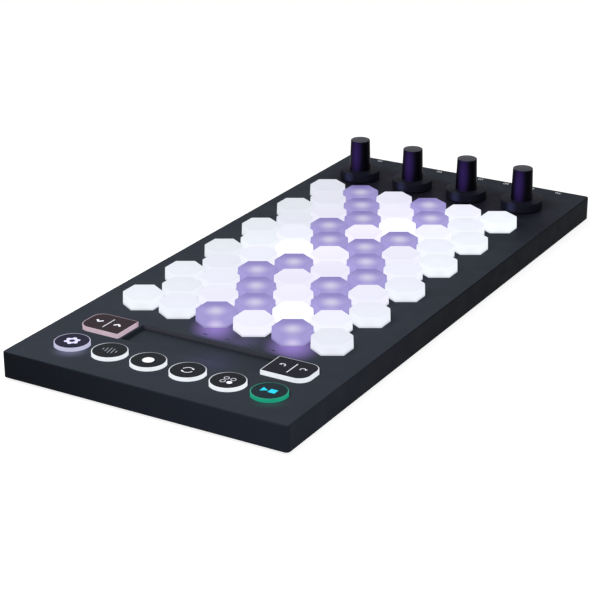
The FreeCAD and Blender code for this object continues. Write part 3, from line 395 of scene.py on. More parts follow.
@dataclass(frozen=True)
class DeckPlastic(Moulded):
    """Soft-touch painted ABS: a blue-grey lacquer with a silky, finely pebbled skin.

    The pebbles give the broad dull sheen. Pools and reflections of the lit pieces' light are painted
    into the lacquer next to them. The channel's back wall has a painted highlight at its lip and
    painted shade at its foot. The outer walls are darker paint with painted shade, and painted light
    makes them palest at the front right corner. Painted shade darkens a strip along the knobs and a
    patch to its right.
    """

    roughness: float = 0.55
    grain: float = 0.45
    depth: float = 0.012
    specular: float = 0.02
    pigment: float = 30.0
    pigment_lift: float = 1.08
    handling: float = 12.0
    polish: float = 0.05
    painted_spills: tuple[PaintedSpill, ...] = ()
    # The outer walls: darker paint with painted shade, paled by painted light near the front right corner.
    side_paint_and_shade_colour: str = "#14171D"
    corner_light_colour: str = "#262A34"
    corner_reach: float = 215.0
    edge: float = 0.6
    channel_half: float = 43.0
    channel_back: float = -125.2
    channel_drop: float = 2.8
    wall_lean: float = 0.6
    # Painted highlight on the channel wall's lip and painted shade in the corner at its foot.
    lip_highlight_colour: str = "#43434D"
    lip_gap: float = 0.1
    lip_full: float = 0.7
    lip_reach: float = 5.0
    foot_shade_colour: str = "#282C34"
    foot_reach: float = 5.5
    foot_rise: float = 1.68
    foot_sunk: float = 1.0
    # Painted shade along the row of knobs and in a fainter patch to its right.
    row_shade_colour: str = "#15121E"
    row_y: float = 150.4
    row_near: float = 14.0
    row_far: float = 30.0
    row_full: float = 64.0
    row_depth: float = 0.85
    patch: Vector = Vector((84.0, 122.0, 16.5))
    patch_reach: float = 64.0
    patch_depth: float = 0.6

    def paint(self) -> NodeSocket:
        """Colour the deck, the channel's wall and the outer walls, with their painted light and shade.

        Returns:
            The colour.
        """
        margin = Vector((self.edge, self.edge, -self.edge)) * MM
        on_top = self.inside(self.place, low("top_cover") + margin, high("top_cover") - margin)
        deck = self.coats(
            super().paint(), (self.channel_foot_shade(), self.foot_shade_colour),
            (self.channel_lip_highlight(), self.lip_highlight_colour), (self.knob_row_shade(), self.row_shade_colour))
        return self.coats(self.outer_wall_light_and_shade(), (on_top, deck))

    def outer_wall_light_and_shade(self) -> NodeSocket:
        """Colour the outer walls: darker paint with painted shade, and painted light near the front right
        corner.
        """
        near = self.halo(self.place, Vector((high("top_cover").x, *low("top_cover").yz)),
                         ROUND * self.corner_reach * MM)
        return self.coats(self.side_paint_and_shade_colour, (near, self.corner_light_colour))

    def knob_row_shade(self) -> NodeSocket:
        """Mask the painted shade of the strip along the row of knobs and of the fainter patch to its right.

        Returns:
            The mask.
        """
        axes = self.add("SeparateXYZ", {0: self.place}).outputs
        off = self.add("Math", {0: axes["Y"], 1: self.row_y * MM}, operation="SUBTRACT").outputs[0]
        away, aside = (self.add("Math", {0: value}, operation="ABSOLUTE").outputs[0]
                       for value in (off, axes["X"]))
        near = self.ease(away, self.row_far * MM, self.row_near * MM)
        inner = self.ease(aside, high("top_cover").x, self.row_full * MM)
        strip = self.product(near, inner, self.row_depth)
        # The patch to the right of the knobs is painted shade too.
        spot = self.halo(self.place, self.patch * MM, ROUND * self.patch_reach * MM)
        faint = self.product(spot, self.patch_depth)
        return self.add("Math", {0: strip, 1: faint}, operation="MAXIMUM").outputs[0]

    def channel(self, front: float, floor: float, lip: float) -> NodeSocket:
        """Mask the channel from a place before its back wall to the wall.

        Args:
            front: The place along the case in millimetres.
            floor: Lowest height in millimetres.
            lip: Highest height in millimetres.

        Returns:
            The mask.
        """
        least = Vector((-self.channel_half, front, floor)) * MM
        most = Vector((self.channel_half, self.channel_back + self.wall_lean, lip)) * MM
        return self.inside(self.place, least, most)

    def channel_lip_highlight(self) -> NodeSocket:
        """Mask the painted highlight on the upper part of the wall behind the channel, fading downwards.

        Returns:
            The mask.
        """
        deck = high("top_cover").z / MM
        foot = deck - self.channel_drop
        wall = self.channel(self.channel_back - self.wall_lean, foot, deck - self.lip_gap)
        height = self.add("SeparateXYZ", {0: self.place}).outputs["Z"]
        return self.product(self.ease(height, foot * MM, (deck - self.lip_full) * MM), wall)

    def channel_foot_shade(self) -> NodeSocket:
        """Mask the painted shade in the corner between the channel's floor and its back wall.

        Returns:
            The mask.
        """
        foot = high("top_cover").z / MM - self.channel_drop
        start = self.channel_back - self.foot_reach
        corner = self.channel(start, foot - self.foot_sunk, foot + self.channel_drop)
        axes = self.add("SeparateXYZ", {0: self.place}).outputs
        near = self.ease(axes["Y"], start * MM, self.channel_back * MM)
        low_down = self.ease(axes["Z"], (foot + self.foot_rise) * MM, foot * MM)
        return self.product(near, low_down, corner)

    def painted_light(self) -> dict[str, object]:
        """Add up the painted light of each spill; the keys' painted light ends at the channel's lip.

        Returns:
            The emission's colour and strength inputs.
        """
        along = self.add("SeparateXYZ", {0: self.place}).outputs["Y"]
        lip = self.ease(along, self.channel_back * MM, (self.channel_back + self.lip_reach) * MM)
        total: object = (0.0, 0.0, 0.0)
        # Each spill is painted light: a glow added to the deck's emission.
        for spill in self.painted_spills:
            centre = Vector((spill.x * MM, spill.y * MM, high("top_cover").z))
            fade = self.halo(self.place, centre, Vector((spill.along, spill.across, spill.upwards)) * MM)
            if spill.y > self.channel_back:
                fade = self.product(fade, lip)
            light = [c * spill.strength for c in linear(spill.colour)[:3]]
            glow = self.add("VectorMath", {0: light, "Scale": fade}, operation="SCALE")
            total = self.add("VectorMath", {0: total, 1: glow.outputs[0]}).outputs[0]
        return {"Emission Color": total, "Emission Strength": 1.0}


@dataclass(frozen=True)
class KeySilicone(Finish):
    """Compression-moulded translucent silicone over a lamp.

    The lamp's light fills the whole key, so it looks nearly shadeless. Painted shade dims it
    towards the far rim and at its foot, and painted highlights pool on the crown and low on the
    wall that faces the player. A key beside lilac ones has their light painted on it as a lilac tint.
    """

    # far and near: the glow dims towards the far rim, painted shade.
    far: str
    near: str
    crown: str
    front: str
    lilac_spill: str
    wall_level: float = 1.0
    wall_from: float = 7.0
    wall_full: float = 5.5
    foot_shade_level: float = 0.75
    foot_rise: float = 1.3
    dim_from: float = -9.0
    dim_to: float = 5.0
    crown_highlight: Pool = Pool(4.0, 7.2, Vector((9.2, 7.4, 4.0)))
    front_highlight: Pool = Pool(10.3, 1.2, Vector((6.0, 6.6, 4.8)))
    roughness: float = 0.45
    ior: float = 1.41
    specular: float = 0.1
    grain: float = 0.35
    depth: float = 0.004

    def skin(self) -> Node:
        """Build the surface shader.

        Returns:
            The shader's node.
        """
        spot = self.add("Attribute", attribute_name=KEY_PLACE).outputs["Vector"]
        light = self.add("Attribute", attribute_name=KEY_LIGHT).outputs["Vector"]
        tint, level = self.add("SeparateXYZ", {0: light}).outputs[:2]
        towards = self.add("VectorMath", {0: spot, 1: TOWARDS_PLAYER}, operation="DOT_PRODUCT")
        nearness = self.ease(towards.outputs["Value"], self.dim_from * MM, self.dim_to * MM)
        # Painted shade on the far rim, painted highlights on the crown and front wall, painted lilac light
        # from lilac neighbours.
        glow = self.coats(
            self.far, (nearness, self.near), (self.crown_highlight.mask(self, spot), self.crown),
            (self.front_highlight.mask(self, spot), self.front), (tint, self.lilac_spill))
        height = self.add("SeparateXYZ", {0: spot}).outputs["Z"]
        wall = self.add("MapRange", {
            "Value": height, "From Min": self.wall_from * MM, "From Max": self.wall_full * MM,
            "To Min": 1.0, "To Max": self.wall_level})
        # Painted shade at the key's foot.
        foot = self.add("MapRange", {"Value": self.ease(height, 0.0, self.foot_rise * MM),
                                     "To Min": self.foot_shade_level, "To Max": 1.0})
        strength = self.product(wall.outputs["Result"], foot.outputs["Result"], level)
        return self.add("BsdfPrincipled", {
            "Base Color": linear(self.colour), "Roughness": self.roughness, "IOR": self.ior,
            "Specular IOR Level": self.specular, "Emission Color": glow, "Emission Strength": strength,
            "Normal": self.rough_normal(self.place, self.grain, self.depth)})


@dataclass(frozen=True)
class LitPlastic(Finish):
    """Frosted polycarbonate over a lamp, as on button bodies and printed windows.

    It glows evenly, with a slow mottle from the frosting, and painted shade may dim it between
    two places along the case, darker towards the rear.
    """

    glow: str
    strength: float = 1.0
    dim_from: float = 0.0
    dim_to: float = 1.0
    dim_level: float = 1.0
    frosting: float = 4.0
    swing: float = 0.05
    roughness: float = 0.35
    ior: float = 1.58
    specular: float = 0.05
    grain: float = 0.3
    depth: float = 0.003

    def skin(self) -> Node:
        """Build the surface shader.

        Returns:
            The shader's node.
        """
        shine = self.spread(self.place, self.frosting, self.strength * (1 - self.swing),
                            self.strength * (1 + self.swing))
        along = self.add("SeparateXYZ", {0: self.place}).outputs["Y"]
        # Painted shade: the glow dims towards the rear.
        level = self.add("MapRange", {
            "Value": along, "From Min": self.dim_from * MM, "From Max": self.dim_to * MM,
            "To Min": 1.0, "To Max": self.dim_level})
        return self.add("BsdfPrincipled", {
            "Base Color": linear(self.colour), "Roughness": self.roughness, "IOR": self.ior,
            "Specular IOR Level": self.specular, "Emission Color": linear(self.glow),
            "Emission Strength": self.product(shine, level.outputs["Result"]),
            "Normal": self.rough_normal(self.place, self.grain, self.depth)})


@dataclass(frozen=True)
class SolderedBoard(Finish):
    """Glass-fibre board under solder mask: the weave shows as a faint square ripple."""

    thread: float = 0.6
    depth: float = 0.01
    roughness: float = 0.3
    ior: float = 1.5
    coat: float = 0.4

    def skin(self) -> Node:
        """Build the surface shader.

        Returns:
            The shader's node.
        """
        scale = 1 / (self.thread * MM * STRIPES)
        warp, weft = (self.add("TexWave", {"Vector": self.place, "Scale": scale}, bands_direction=axis)
                      for axis in "XY")
        cloth = self.add("Math", {0: warp.outputs["Fac"], 1: weft.outputs["Fac"]}, operation="ADD")
        bump = self.add("Bump", {"Height": cloth.outputs[0], "Distance": self.depth * MM})
        return self.add("BsdfPrincipled", {
            "Base Color": linear(self.colour), "Roughness": self.roughness, "IOR": self.ior,
            "Coat Weight": self.coat, "Normal": bump.outputs["Normal"]})


@dataclass(frozen=True)
class Paper(Finish):
    """Matt white paper on the floor: it looks white to the camera and keeps the shadow."""

    lift: float = 0.83
    roughness: float = 0.9

    def skin(self) -> Node:
        """Build and return the surface shader."""
        return self.add("BsdfPrincipled", {
            "Base Color": linear(self.colour), "Roughness": self.roughness, "Specular IOR Level": 0.0,
            "Emission Color": (1, 1, 1, 1), "Emission Strength": self.product(self.looked_at(), self.lift)})


@dataclass(frozen=True)
class Room(Shade):
    """Surroundings that light everything evenly and look white behind the object."""

    kind = "worlds"
    name: str = "soft_white_room"
    level: float = 0.36

    def make(self) -> World:
        """Build the world.

        Returns:
            The world.
        """
        level = self.add("MapRange", {"Value": self.looked_at(), "To Min": self.level, "To Max": 1.0})
        white = self.add("Background", {"Strength": level.outputs["Result"], "Color": (1, 1, 1, 1)})
        self.add("OutputWorld", {"Surface": white.outputs[0]})
        return self.owner


class KeyLight(Enum):
    """Lamp below a key: plain, a note of the scale, or the scale's first note."""

    PLAIN = "plain"
    SCALE = "scale"
    ROOT = "root"


class Sign(Enum):
    """Print on a round button's face, from left to right."""

    GEAR = 0
    WAVE = 1
    DOT = 2
    LOOP = 3
    GROUP = 4
    PLAY = 5


def finish_mesh(bm: BMesh, name: str, materials: Sequence[Material], recalculate: bool = True) -> Object:
    """Turn a bmesh into an object at the origin with smooth and sharp edges set.

    Args:
        bm: The finished bmesh, which is freed.
        name: The piece's name.
        materials: Its materials in slot order.
        recalculate: Whether the faces are turned outwards first.

    Returns:
        The new object.
    """
    bmesh.ops.remove_doubles(bm, verts=bm.verts, dist=MERGE_WITHIN)
    if recalculate:
        bmesh.ops.recalc_face_normals(bm, faces=bm.faces)
    for face in bm.faces:
        face.smooth = True
    for edge in bm.edges:
        edge.smooth = edge.is_manifold and edge.calc_face_angle(0.0) < SMOOTH_BELOW
    mesh = bpy.data.meshes.new(name)
    bm.to_mesh(mesh)
    bm.free()
    for material in materials:
        mesh.materials.append(material)
    piece = bpy.data.objects.new(name, mesh)
    bpy.context.scene.collection.objects.link(piece)
    LOG.info("%s: %d faces", name, len(mesh.polygons))
    return piece


def bevel(bm: BMesh, edges: Iterable[BMEdge], width: float, segments: int) -> None:
    """Round edges by a width in metres."""
    bmesh.ops.bevel(bm, geom=list(edges), offset=width, offset_type="OFFSET", segments=segments,
                    profile=0.5, affect="EDGES", clamp_overlap=True, material=-1)


def grow(bm: BMesh, face: BMFace, height: float, scale: float) -> BMFace:
    """Extrude a level face to a height and scale it about its middle.

    A face that stands alone stays as the floor; one that closes a body goes.

    Args:
        bm: The bmesh that holds the face.
        face: The level face.
        height: Height of the new face in metres.
        scale: Its size as a share of the old one.

    Returns:
        The new top face.
    """
    alone = all(edge.is_boundary for edge in face.edges)
    made = bmesh.ops.extrude_face_region(bm, geom=[face])["geom"]
    top = next(item for item in made if isinstance(item, BMFace))
    if not alone:
        bmesh.ops.delete(bm, geom=[face], context="FACES_ONLY")
    heart = top.calc_center_median()
    bmesh.ops.translate(bm, verts=top.verts, vec=(0, 0, height - heart.z))
    bmesh.ops.scale(bm, verts=top.verts, vec=(scale, scale, 1), space=Matrix.Translation(-heart))
    return top


def lathe(bm: BMesh, profile: Sequence[tuple[float, float]], steps: int) -> None:
    """Spin a closed or axis-to-axis profile about the Z axis.

    Args:
        bm: The bmesh that takes the body.
        profile: Radius and height of each corner in metres.
        steps: Number of faces round the body.
    """
    verts = [bm.verts.new((radius, 0, height)) for radius, height in profile]
    edges = [bm.edges.new(pair) for pair in zip(verts, verts[1:])]
    bmesh.ops.spin(bm, geom=verts + edges, cent=(0, 0, 0), axis=(0, 0, 1), dvec=(0, 0, 0),
                   angle=math.tau, steps=steps, use_merge=True, use_duplicate=False)
    bmesh.ops.remove_doubles(bm, verts=bm.verts, dist=MERGE_WITHIN)


def ring_edges(bm: BMesh, radius: float, height: float) -> list[BMEdge]:
    """Find the edges of a level ring about the Z axis by its radius and height in metres."""
    ring = {vert for vert in bm.verts if abs(vert.co.z - height) < RING_WITHIN
            and abs(vert.co.xy.length - radius) < RING_WITHIN}
    return [edge for edge in bm.edges if ring.issuperset(edge.verts)]


def dress(node: str, material: Material) -> None:
    """Give a CAD node's object a material.

    Args:
        node: The node's name.
        material: The material for all its slots.
    """
    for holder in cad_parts[node].material_slots:
        holder.material = material
    LOG.info("%s wears %s", node, material.name)


class Stencil:
    """Flat shapes on a face, given a print's thickness at the end."""

    def __init__(self, node: str) -> None:
        """Start an empty stencil over the middle of a CAD node's top.

        Args:
            node: The node that is printed on.
        """
        centre = middle(node)
        self.bm = bmesh.new()
        self.origin = Matrix.Translation((centre.x, centre.y, high(node).z))

    def at(self, x: float, y: float, turn: float = 0.0) -> Matrix:
        """Return the matrix of a place in millimetres, turned by degrees."""
        moved = self.origin @ Matrix.Translation((x * MM, y * MM, 0))
        return moved @ Matrix.Rotation(math.radians(turn), 4, "Z")

    def disc(self, x: float, y: float, radius: float, corners: int = PRINT_STEPS, turn: float = 0.0) -> None:
        """Draw a filled disc, or a polygon of few corners."""
        bmesh.ops.create_circle(self.bm, cap_ends=True, segments=corners, radius=radius * MM,
                                matrix=self.at(x, y, turn))

    def ring(self, x: float, y: float, radius: float, stroke: float) -> list[BMVert]:
        """Draw a ring by insetting a disc.

        Args:
            x: Middle across in millimetres.
            y: Middle along in millimetres.
            radius: Outer radius in millimetres.
            stroke: Width of the band in millimetres.

        Returns:
            The outer vertices.
        """
        made = bmesh.ops.create_circle(self.bm, cap_ends=True, segments=RING_STEPS, radius=radius * MM,
                                       matrix=self.at(x, y))["verts"]
        face = next(iter(made[0].link_faces))
        bmesh.ops.inset_region(self.bm, faces=[face], thickness=stroke * MM, use_boundary=True,
                               use_even_offset=True)
        bmesh.ops.delete(self.bm, geom=[face], context="FACES_ONLY")
        return made

    def bar(self, x: float, y: float, length: float, width: float, turn: float = 0.0) -> None:
        """Draw a straight bar."""
        size = Matrix.Diagonal((length * MM, width * MM, 1, 1))
        bmesh.ops.create_grid(self.bm, x_segments=1, y_segments=1, size=0.5,
                              matrix=self.at(x, y, turn) @ size)

    def piece(self, name: str, material: Material, body: str) -> None:
        """Thicken the shapes upwards and make the piece ride on a body.

        Args:
            name: The piece's name.
            material: Its material.
            body: The CAD body that it rides on.
        """
        made = bmesh.ops.extrude_face_region(self.bm, geom=self.bm.faces[:])["geom"]
        tops = [item for item in made if isinstance(item, BMVert)]
        bmesh.ops.translate(self.bm, verts=tops, vec=(0, 0, PRINT_HEIGHT * MM))
        piece = finish_mesh(self.bm, name, [material])
        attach(piece, body)


@dataclass(frozen=True)
class Arrow:
    """A curved band with an arrow head at its start."""

    radius: float
    stroke: float
    sweep: float
    head: float

    def draw(self, stencil: Stencil, x: float, y: float, start: float, way: int, lean: float) -> None:
        """Draw the arrow about a place.

        Args:
            stencil: The stencil that takes it.
            x: Middle across in millimetres.
            y: Middle along in millimetres.
            start: Bearing of the head in degrees.
            way: One for anticlockwise, minus one for clockwise.
            lean: Turn of the head from its bearing in degrees.
        """
        home = stencil.at(x, y, start)
        pair = [stencil.bm.verts.new(home @ Vector(((self.radius + side * self.stroke / 2) * MM, 0, 0)))
                for side in (-1, 1)]
        edge = stencil.bm.edges.new(pair)
        bmesh.ops.spin(stencil.bm, geom=[*pair, edge], cent=home.translation, axis=(0, 0, 1),
                       dvec=(0, 0, 0), angle=math.radians(way * self.sweep), steps=PRINT_STEPS // 2)
        tip = math.radians(start)
        stencil.disc(x + self.radius * math.cos(tip), y + self.radius * math.sin(tip), self.head,
                     corners=3, turn=start + lean)


@dataclass
class Housing:
    """Case, base, boards, sockets and encoder bodies that keep their CAD shape."""

    deck_colour: str = "#2B3038"
    encoders: int = 4
    # Painted light: glow pools and reflections that lit keys and buttons leave on the deck.
    painted_spills: tuple[PaintedSpill, ...] = (
        PaintedSpill(-6.6, -109.3, 24.0, 16.0, "#846CB6", 1.1),
        PaintedSpill(42.0, -109.3, 24.0, 18.0, "#846CB6", 1.15),
        PaintedSpill(14.0, -118.0, 14.0, 18.0, "#816EB5", 0.2),
        PaintedSpill(13.0, -144.0, 24.0, 20.0, "#7A66B0", 0.1),
        PaintedSpill(-56.8, -173.1, 10.0, 12.0, "#62637E", 0.9),
        PaintedSpill(66.0, -173.1, 9.0, 12.0, "#0A8B70", 0.18))

    def build(self) -> None:
        """Dress every node of the case."""
        turning = [f"encoder_{kind}_{index + 1}" for index in range(self.encoders)
                   for kind in ("shaft", "rotor")]
        looks = (
            (DeckPlastic("soft_touch_abs_deck", self.deck_colour, painted_spills=self.painted_spills), "top_cover"),
            (Moulded("moulded_abs_base", "#17181C", 0.55, grain=0.7, depth=0.03), "base_plate"),
            (Moulded("moulded_rubber_feet", "#1B1B1D", 0.85, grain=1.2, depth=0.05), "rubber_feet"),
            (Plated("blackened_steel_screws", "#2A2A2E", 0.38), "case_screws"),
            (SolderedBoard("solder_mask_board", "#0F3A24"), "main_board", "rear_board"),
            (Moulded("flat_ribbon_film", "#D8D6CC", 0.4), "board_link"),
            (Moulded("white_polypropylene_frame", "#DADADA", 0.5), "key_frame"),
            (Moulded("carbon_silicone_pads", "#26262A", 0.7), "sensor_pads"),
            (LitPlastic("lamp_epoxy", "#F0ECCB", "#FFFFFF", strength=0.4), "key_lamps"),
            (Moulded("switch_nylon", "#1E1E20", 0.45), "button_switches"),
            (Moulded("sensor_film", "#5A4A22", 0.35), "channel_sensor"),
            (Moulded("smoked_polycarbonate_window", "#0E0F13", 0.15, depth=0.001), "channel_windows"),
            (Moulded("glass_filled_nylon_jacks", "#141416", 0.42), "jack_sockets"),
            (Plated("nickel_plated_steel", "#9A9CA0", 0.28), "encoder_housings", "encoder_nuts",
             "usb_socket", *turning))
        for finish, *nodes in looks:
            material = finish.make()
            for node in nodes:
                dress(node, material)


@dataclass
class KeyField:
    """Sixty-one hexagonal keys in eleven rows, one piece to a row."""

    rows: int = 11
    widest: int = 6
    pitch: float = 24.28
    width: float = 20.3
    top_width: float = 19.64
    rise: float = 7.2
    flange: float = 1.0
    flange_width: float = 22.48
    hollow_width: float = 15.0
    hollow_top: float = 15.5
    rounding: float = 0.5
    rounding_steps: int = 3
    row_step: int = 7
    narrow_step: int = 4
    octave: int = 12
    root: int = 7
    scale: frozenset[int] = frozenset({2, 4, 5, 7, 9, 11})
    lit_notes: range = range(2, 39)
    root_level: float = 1.25
    level_spread: float = 0.02
    # Painted light: lamp levels rise towards the right, and keys beside the root take painted light from it.
    level_rise: float = 0.009
    level_twist: float = 0.0024
    level_beside_root: float = 0.066
    # Painted lilac light that each lilac neighbour lends a white key.
    lilac_spill_per_neighbour: float = 0.2
    white: KeySilicone = KeySilicone(
        "silicone_lit_white", "#303134", far="#DEE2EA", near="#E6EBF3", crown="#E4E9F2",
        front="#DFE3EA", lilac_spill="#E7E2F6", wall_level=1.08, dim_to=12.0)
    lilac: KeySilicone = KeySilicone(
        "silicone_lit_lilac", "#3E3858", far="#776EA9", near="#9991C5", crown="#C4C1D4",
        front="#C6BCDC", lilac_spill="#9991C5", wall_level=1.08)

    def count(self, row: int) -> int:
        """Return how many keys a row has: every other row has one fewer."""
        return self.widest - row % 2

    def spot(self, row: int, index: int) -> tuple[int, int]:
        """Return a key's place in half pitches across and rows along."""
        return 2 * index - (self.count(row) - 1), row

    def note(self, row: int, index: int) -> int:
        """Return a key's step above the lowest key's."""
        return self.row_step * (row // 2) + index + (self.narrow_step if row % 2 else 0)

    def keys(self) -> Iterator[tuple[int, int]]:
        """Go through every key's row and place in the row."""
        return ((row, index) for row in range(self.rows) for index in range(self.count(row)))

    def light(self, row: int, index: int) -> KeyLight:
        """Find a key's lamp: each note of the scale lights its most central key.

        Args:
            row: The key's row.
            index: Its place in the row.

        Returns:
            The kind of lamp.
        """
        note = self.note(row, index)
        step = (note - self.root) % self.octave
        if note not in self.lit_notes or (step and step not in self.scale):
            return KeyLight.PLAIN
        offset = abs(self.spot(row, index)[0])
        for other in self.keys():
            if self.note(*other) == note and abs(self.spot(*other)[0]) < offset:
                return KeyLight.PLAIN
        return KeyLight.SCALE if step else KeyLight.ROOT

    def neighbours(self, row: int, index: int, light: KeyLight) -> int:
        """Count a key's neighbours that have a kind of lamp.

        Args:
            row: The key's row.
            index: Its place in the row.
            light: The kind of lamp.

        Returns:
            Their number.
        """
        x, y = self.spot(row, index)
        beside = {(x - 2, y), (x + 2, y), (x - 1, y - 1), (x + 1, y - 1), (x - 1, y + 1), (x + 1, y + 1)}
        return sum(self.spot(*other) in beside and self.light(*other) is light for other in self.keys())

    def lamp(self, row: int, index: int, light: KeyLight) -> tuple[float, float]:
        """Return a key's share of painted lilac light and its lamp's level, which holds painted light too.

        Args:
            row: The key's row.
            index: Its place in the row.
            light: Its kind of lamp.

        Returns:
            The painted lilac share between nought and one, and the level about one.
        """
        across = self.spot(row, index)[0]
        # Painted light that grows towards the right.
        level = 1 + across * (self.level_rise + self.level_twist * (row - self.rows // 2))
        if light is KeyLight.ROOT:
            return 0.0, self.root_level
        if light is KeyLight.SCALE:
            return 0.0, level
        # Painted light from root neighbours.
        level += self.level_beside_root * self.neighbours(row, index, KeyLight.ROOT)
        return self.lilac_spill_per_neighbour * self.neighbours(row, index, KeyLight.SCALE), level

    def build(self) -> None:
        """Build and dress the eleven rows."""
        finishes = [self.white.make(), self.lilac.make()]
        for row in range(self.rows):
            node = f"key_row_{row + 1:02d}"
            piece = self.row_piece(node, row, finishes)
            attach(piece, node)
            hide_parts(node)

    def row_piece(self, node: str, row: int, finishes: Sequence[Material]) -> Object:
        """Build one row of keys as one mesh.

        Args:
            node: The CAD node that the row replaces.
            row: The row's number from the front.
            finishes: White and lilac silicone.

        Returns:
            The row's object.
        """
        bm = bmesh.new()
        centre = middle(node)
        places = bm.verts.layers.float_vector.new(KEY_PLACE)
        lights = bm.verts.layers.float_vector.new(KEY_LIGHT)
        draw = random.Random(row)
        for index in range(self.count(row)):
            across = self.spot(row, index)[0] / 2 * self.pitch * MM
            origin = Vector((across, centre.y, high(node).z - self.rise * MM))
            light = self.light(row, index)
            tint, level = self.lamp(row, index, light)
            level += draw.uniform(-1, 1) * self.level_spread
            before = set(bm.verts), set(bm.faces)
            self.key(bm, origin, low(node).z)
            for vert in set(bm.verts) - before[0]:
                vert[places] = vert.co - origin
                # Each vertex holds the key's painted lilac share and its lamp level.
                vert[lights] = (tint, level, 0)
            for face in set(bm.faces) - before[1]:
                face.material_index = int(light is KeyLight.SCALE)
        return finish_mesh(bm, f"{node}_silicone", finishes)

    def key(self, bm: BMesh, origin: Vector, bottom: float) -> None:
        """Raise one key from its flange, round its edges and hollow it from below.

        Args:
            bm: The row's bmesh.
            origin: The key's middle at deck height.
            bottom: Height of the flange's underside in metres.
        """
        corner = self.flange_width * MM / math.sqrt(3)
        made = bmesh.ops.create_circle(bm, cap_ends=True, segments=6, radius=corner,
                                       matrix=Matrix.Translation((origin.x, origin.y, bottom)))["verts"]
        floor = next(iter(made[0].link_faces))
        rim = grow(bm, floor, bottom + self.flange * MM, 1.0)
        neck = grow(bm, rim, bottom + self.flange * MM, self.width / self.flange_width)
        crown = grow(bm, neck, origin.z + self.rise * MM, self.top_width / self.width)
        mouth = grow(bm, floor, bottom, self.hollow_width / self.flange_width)
        grow(bm, mouth, self.hollow_top * MM, 1.0)
        walls = {edge for vert in crown.verts for edge in vert.link_edges}
        bevel(bm, walls, self.rounding * MM, self.rounding_steps)


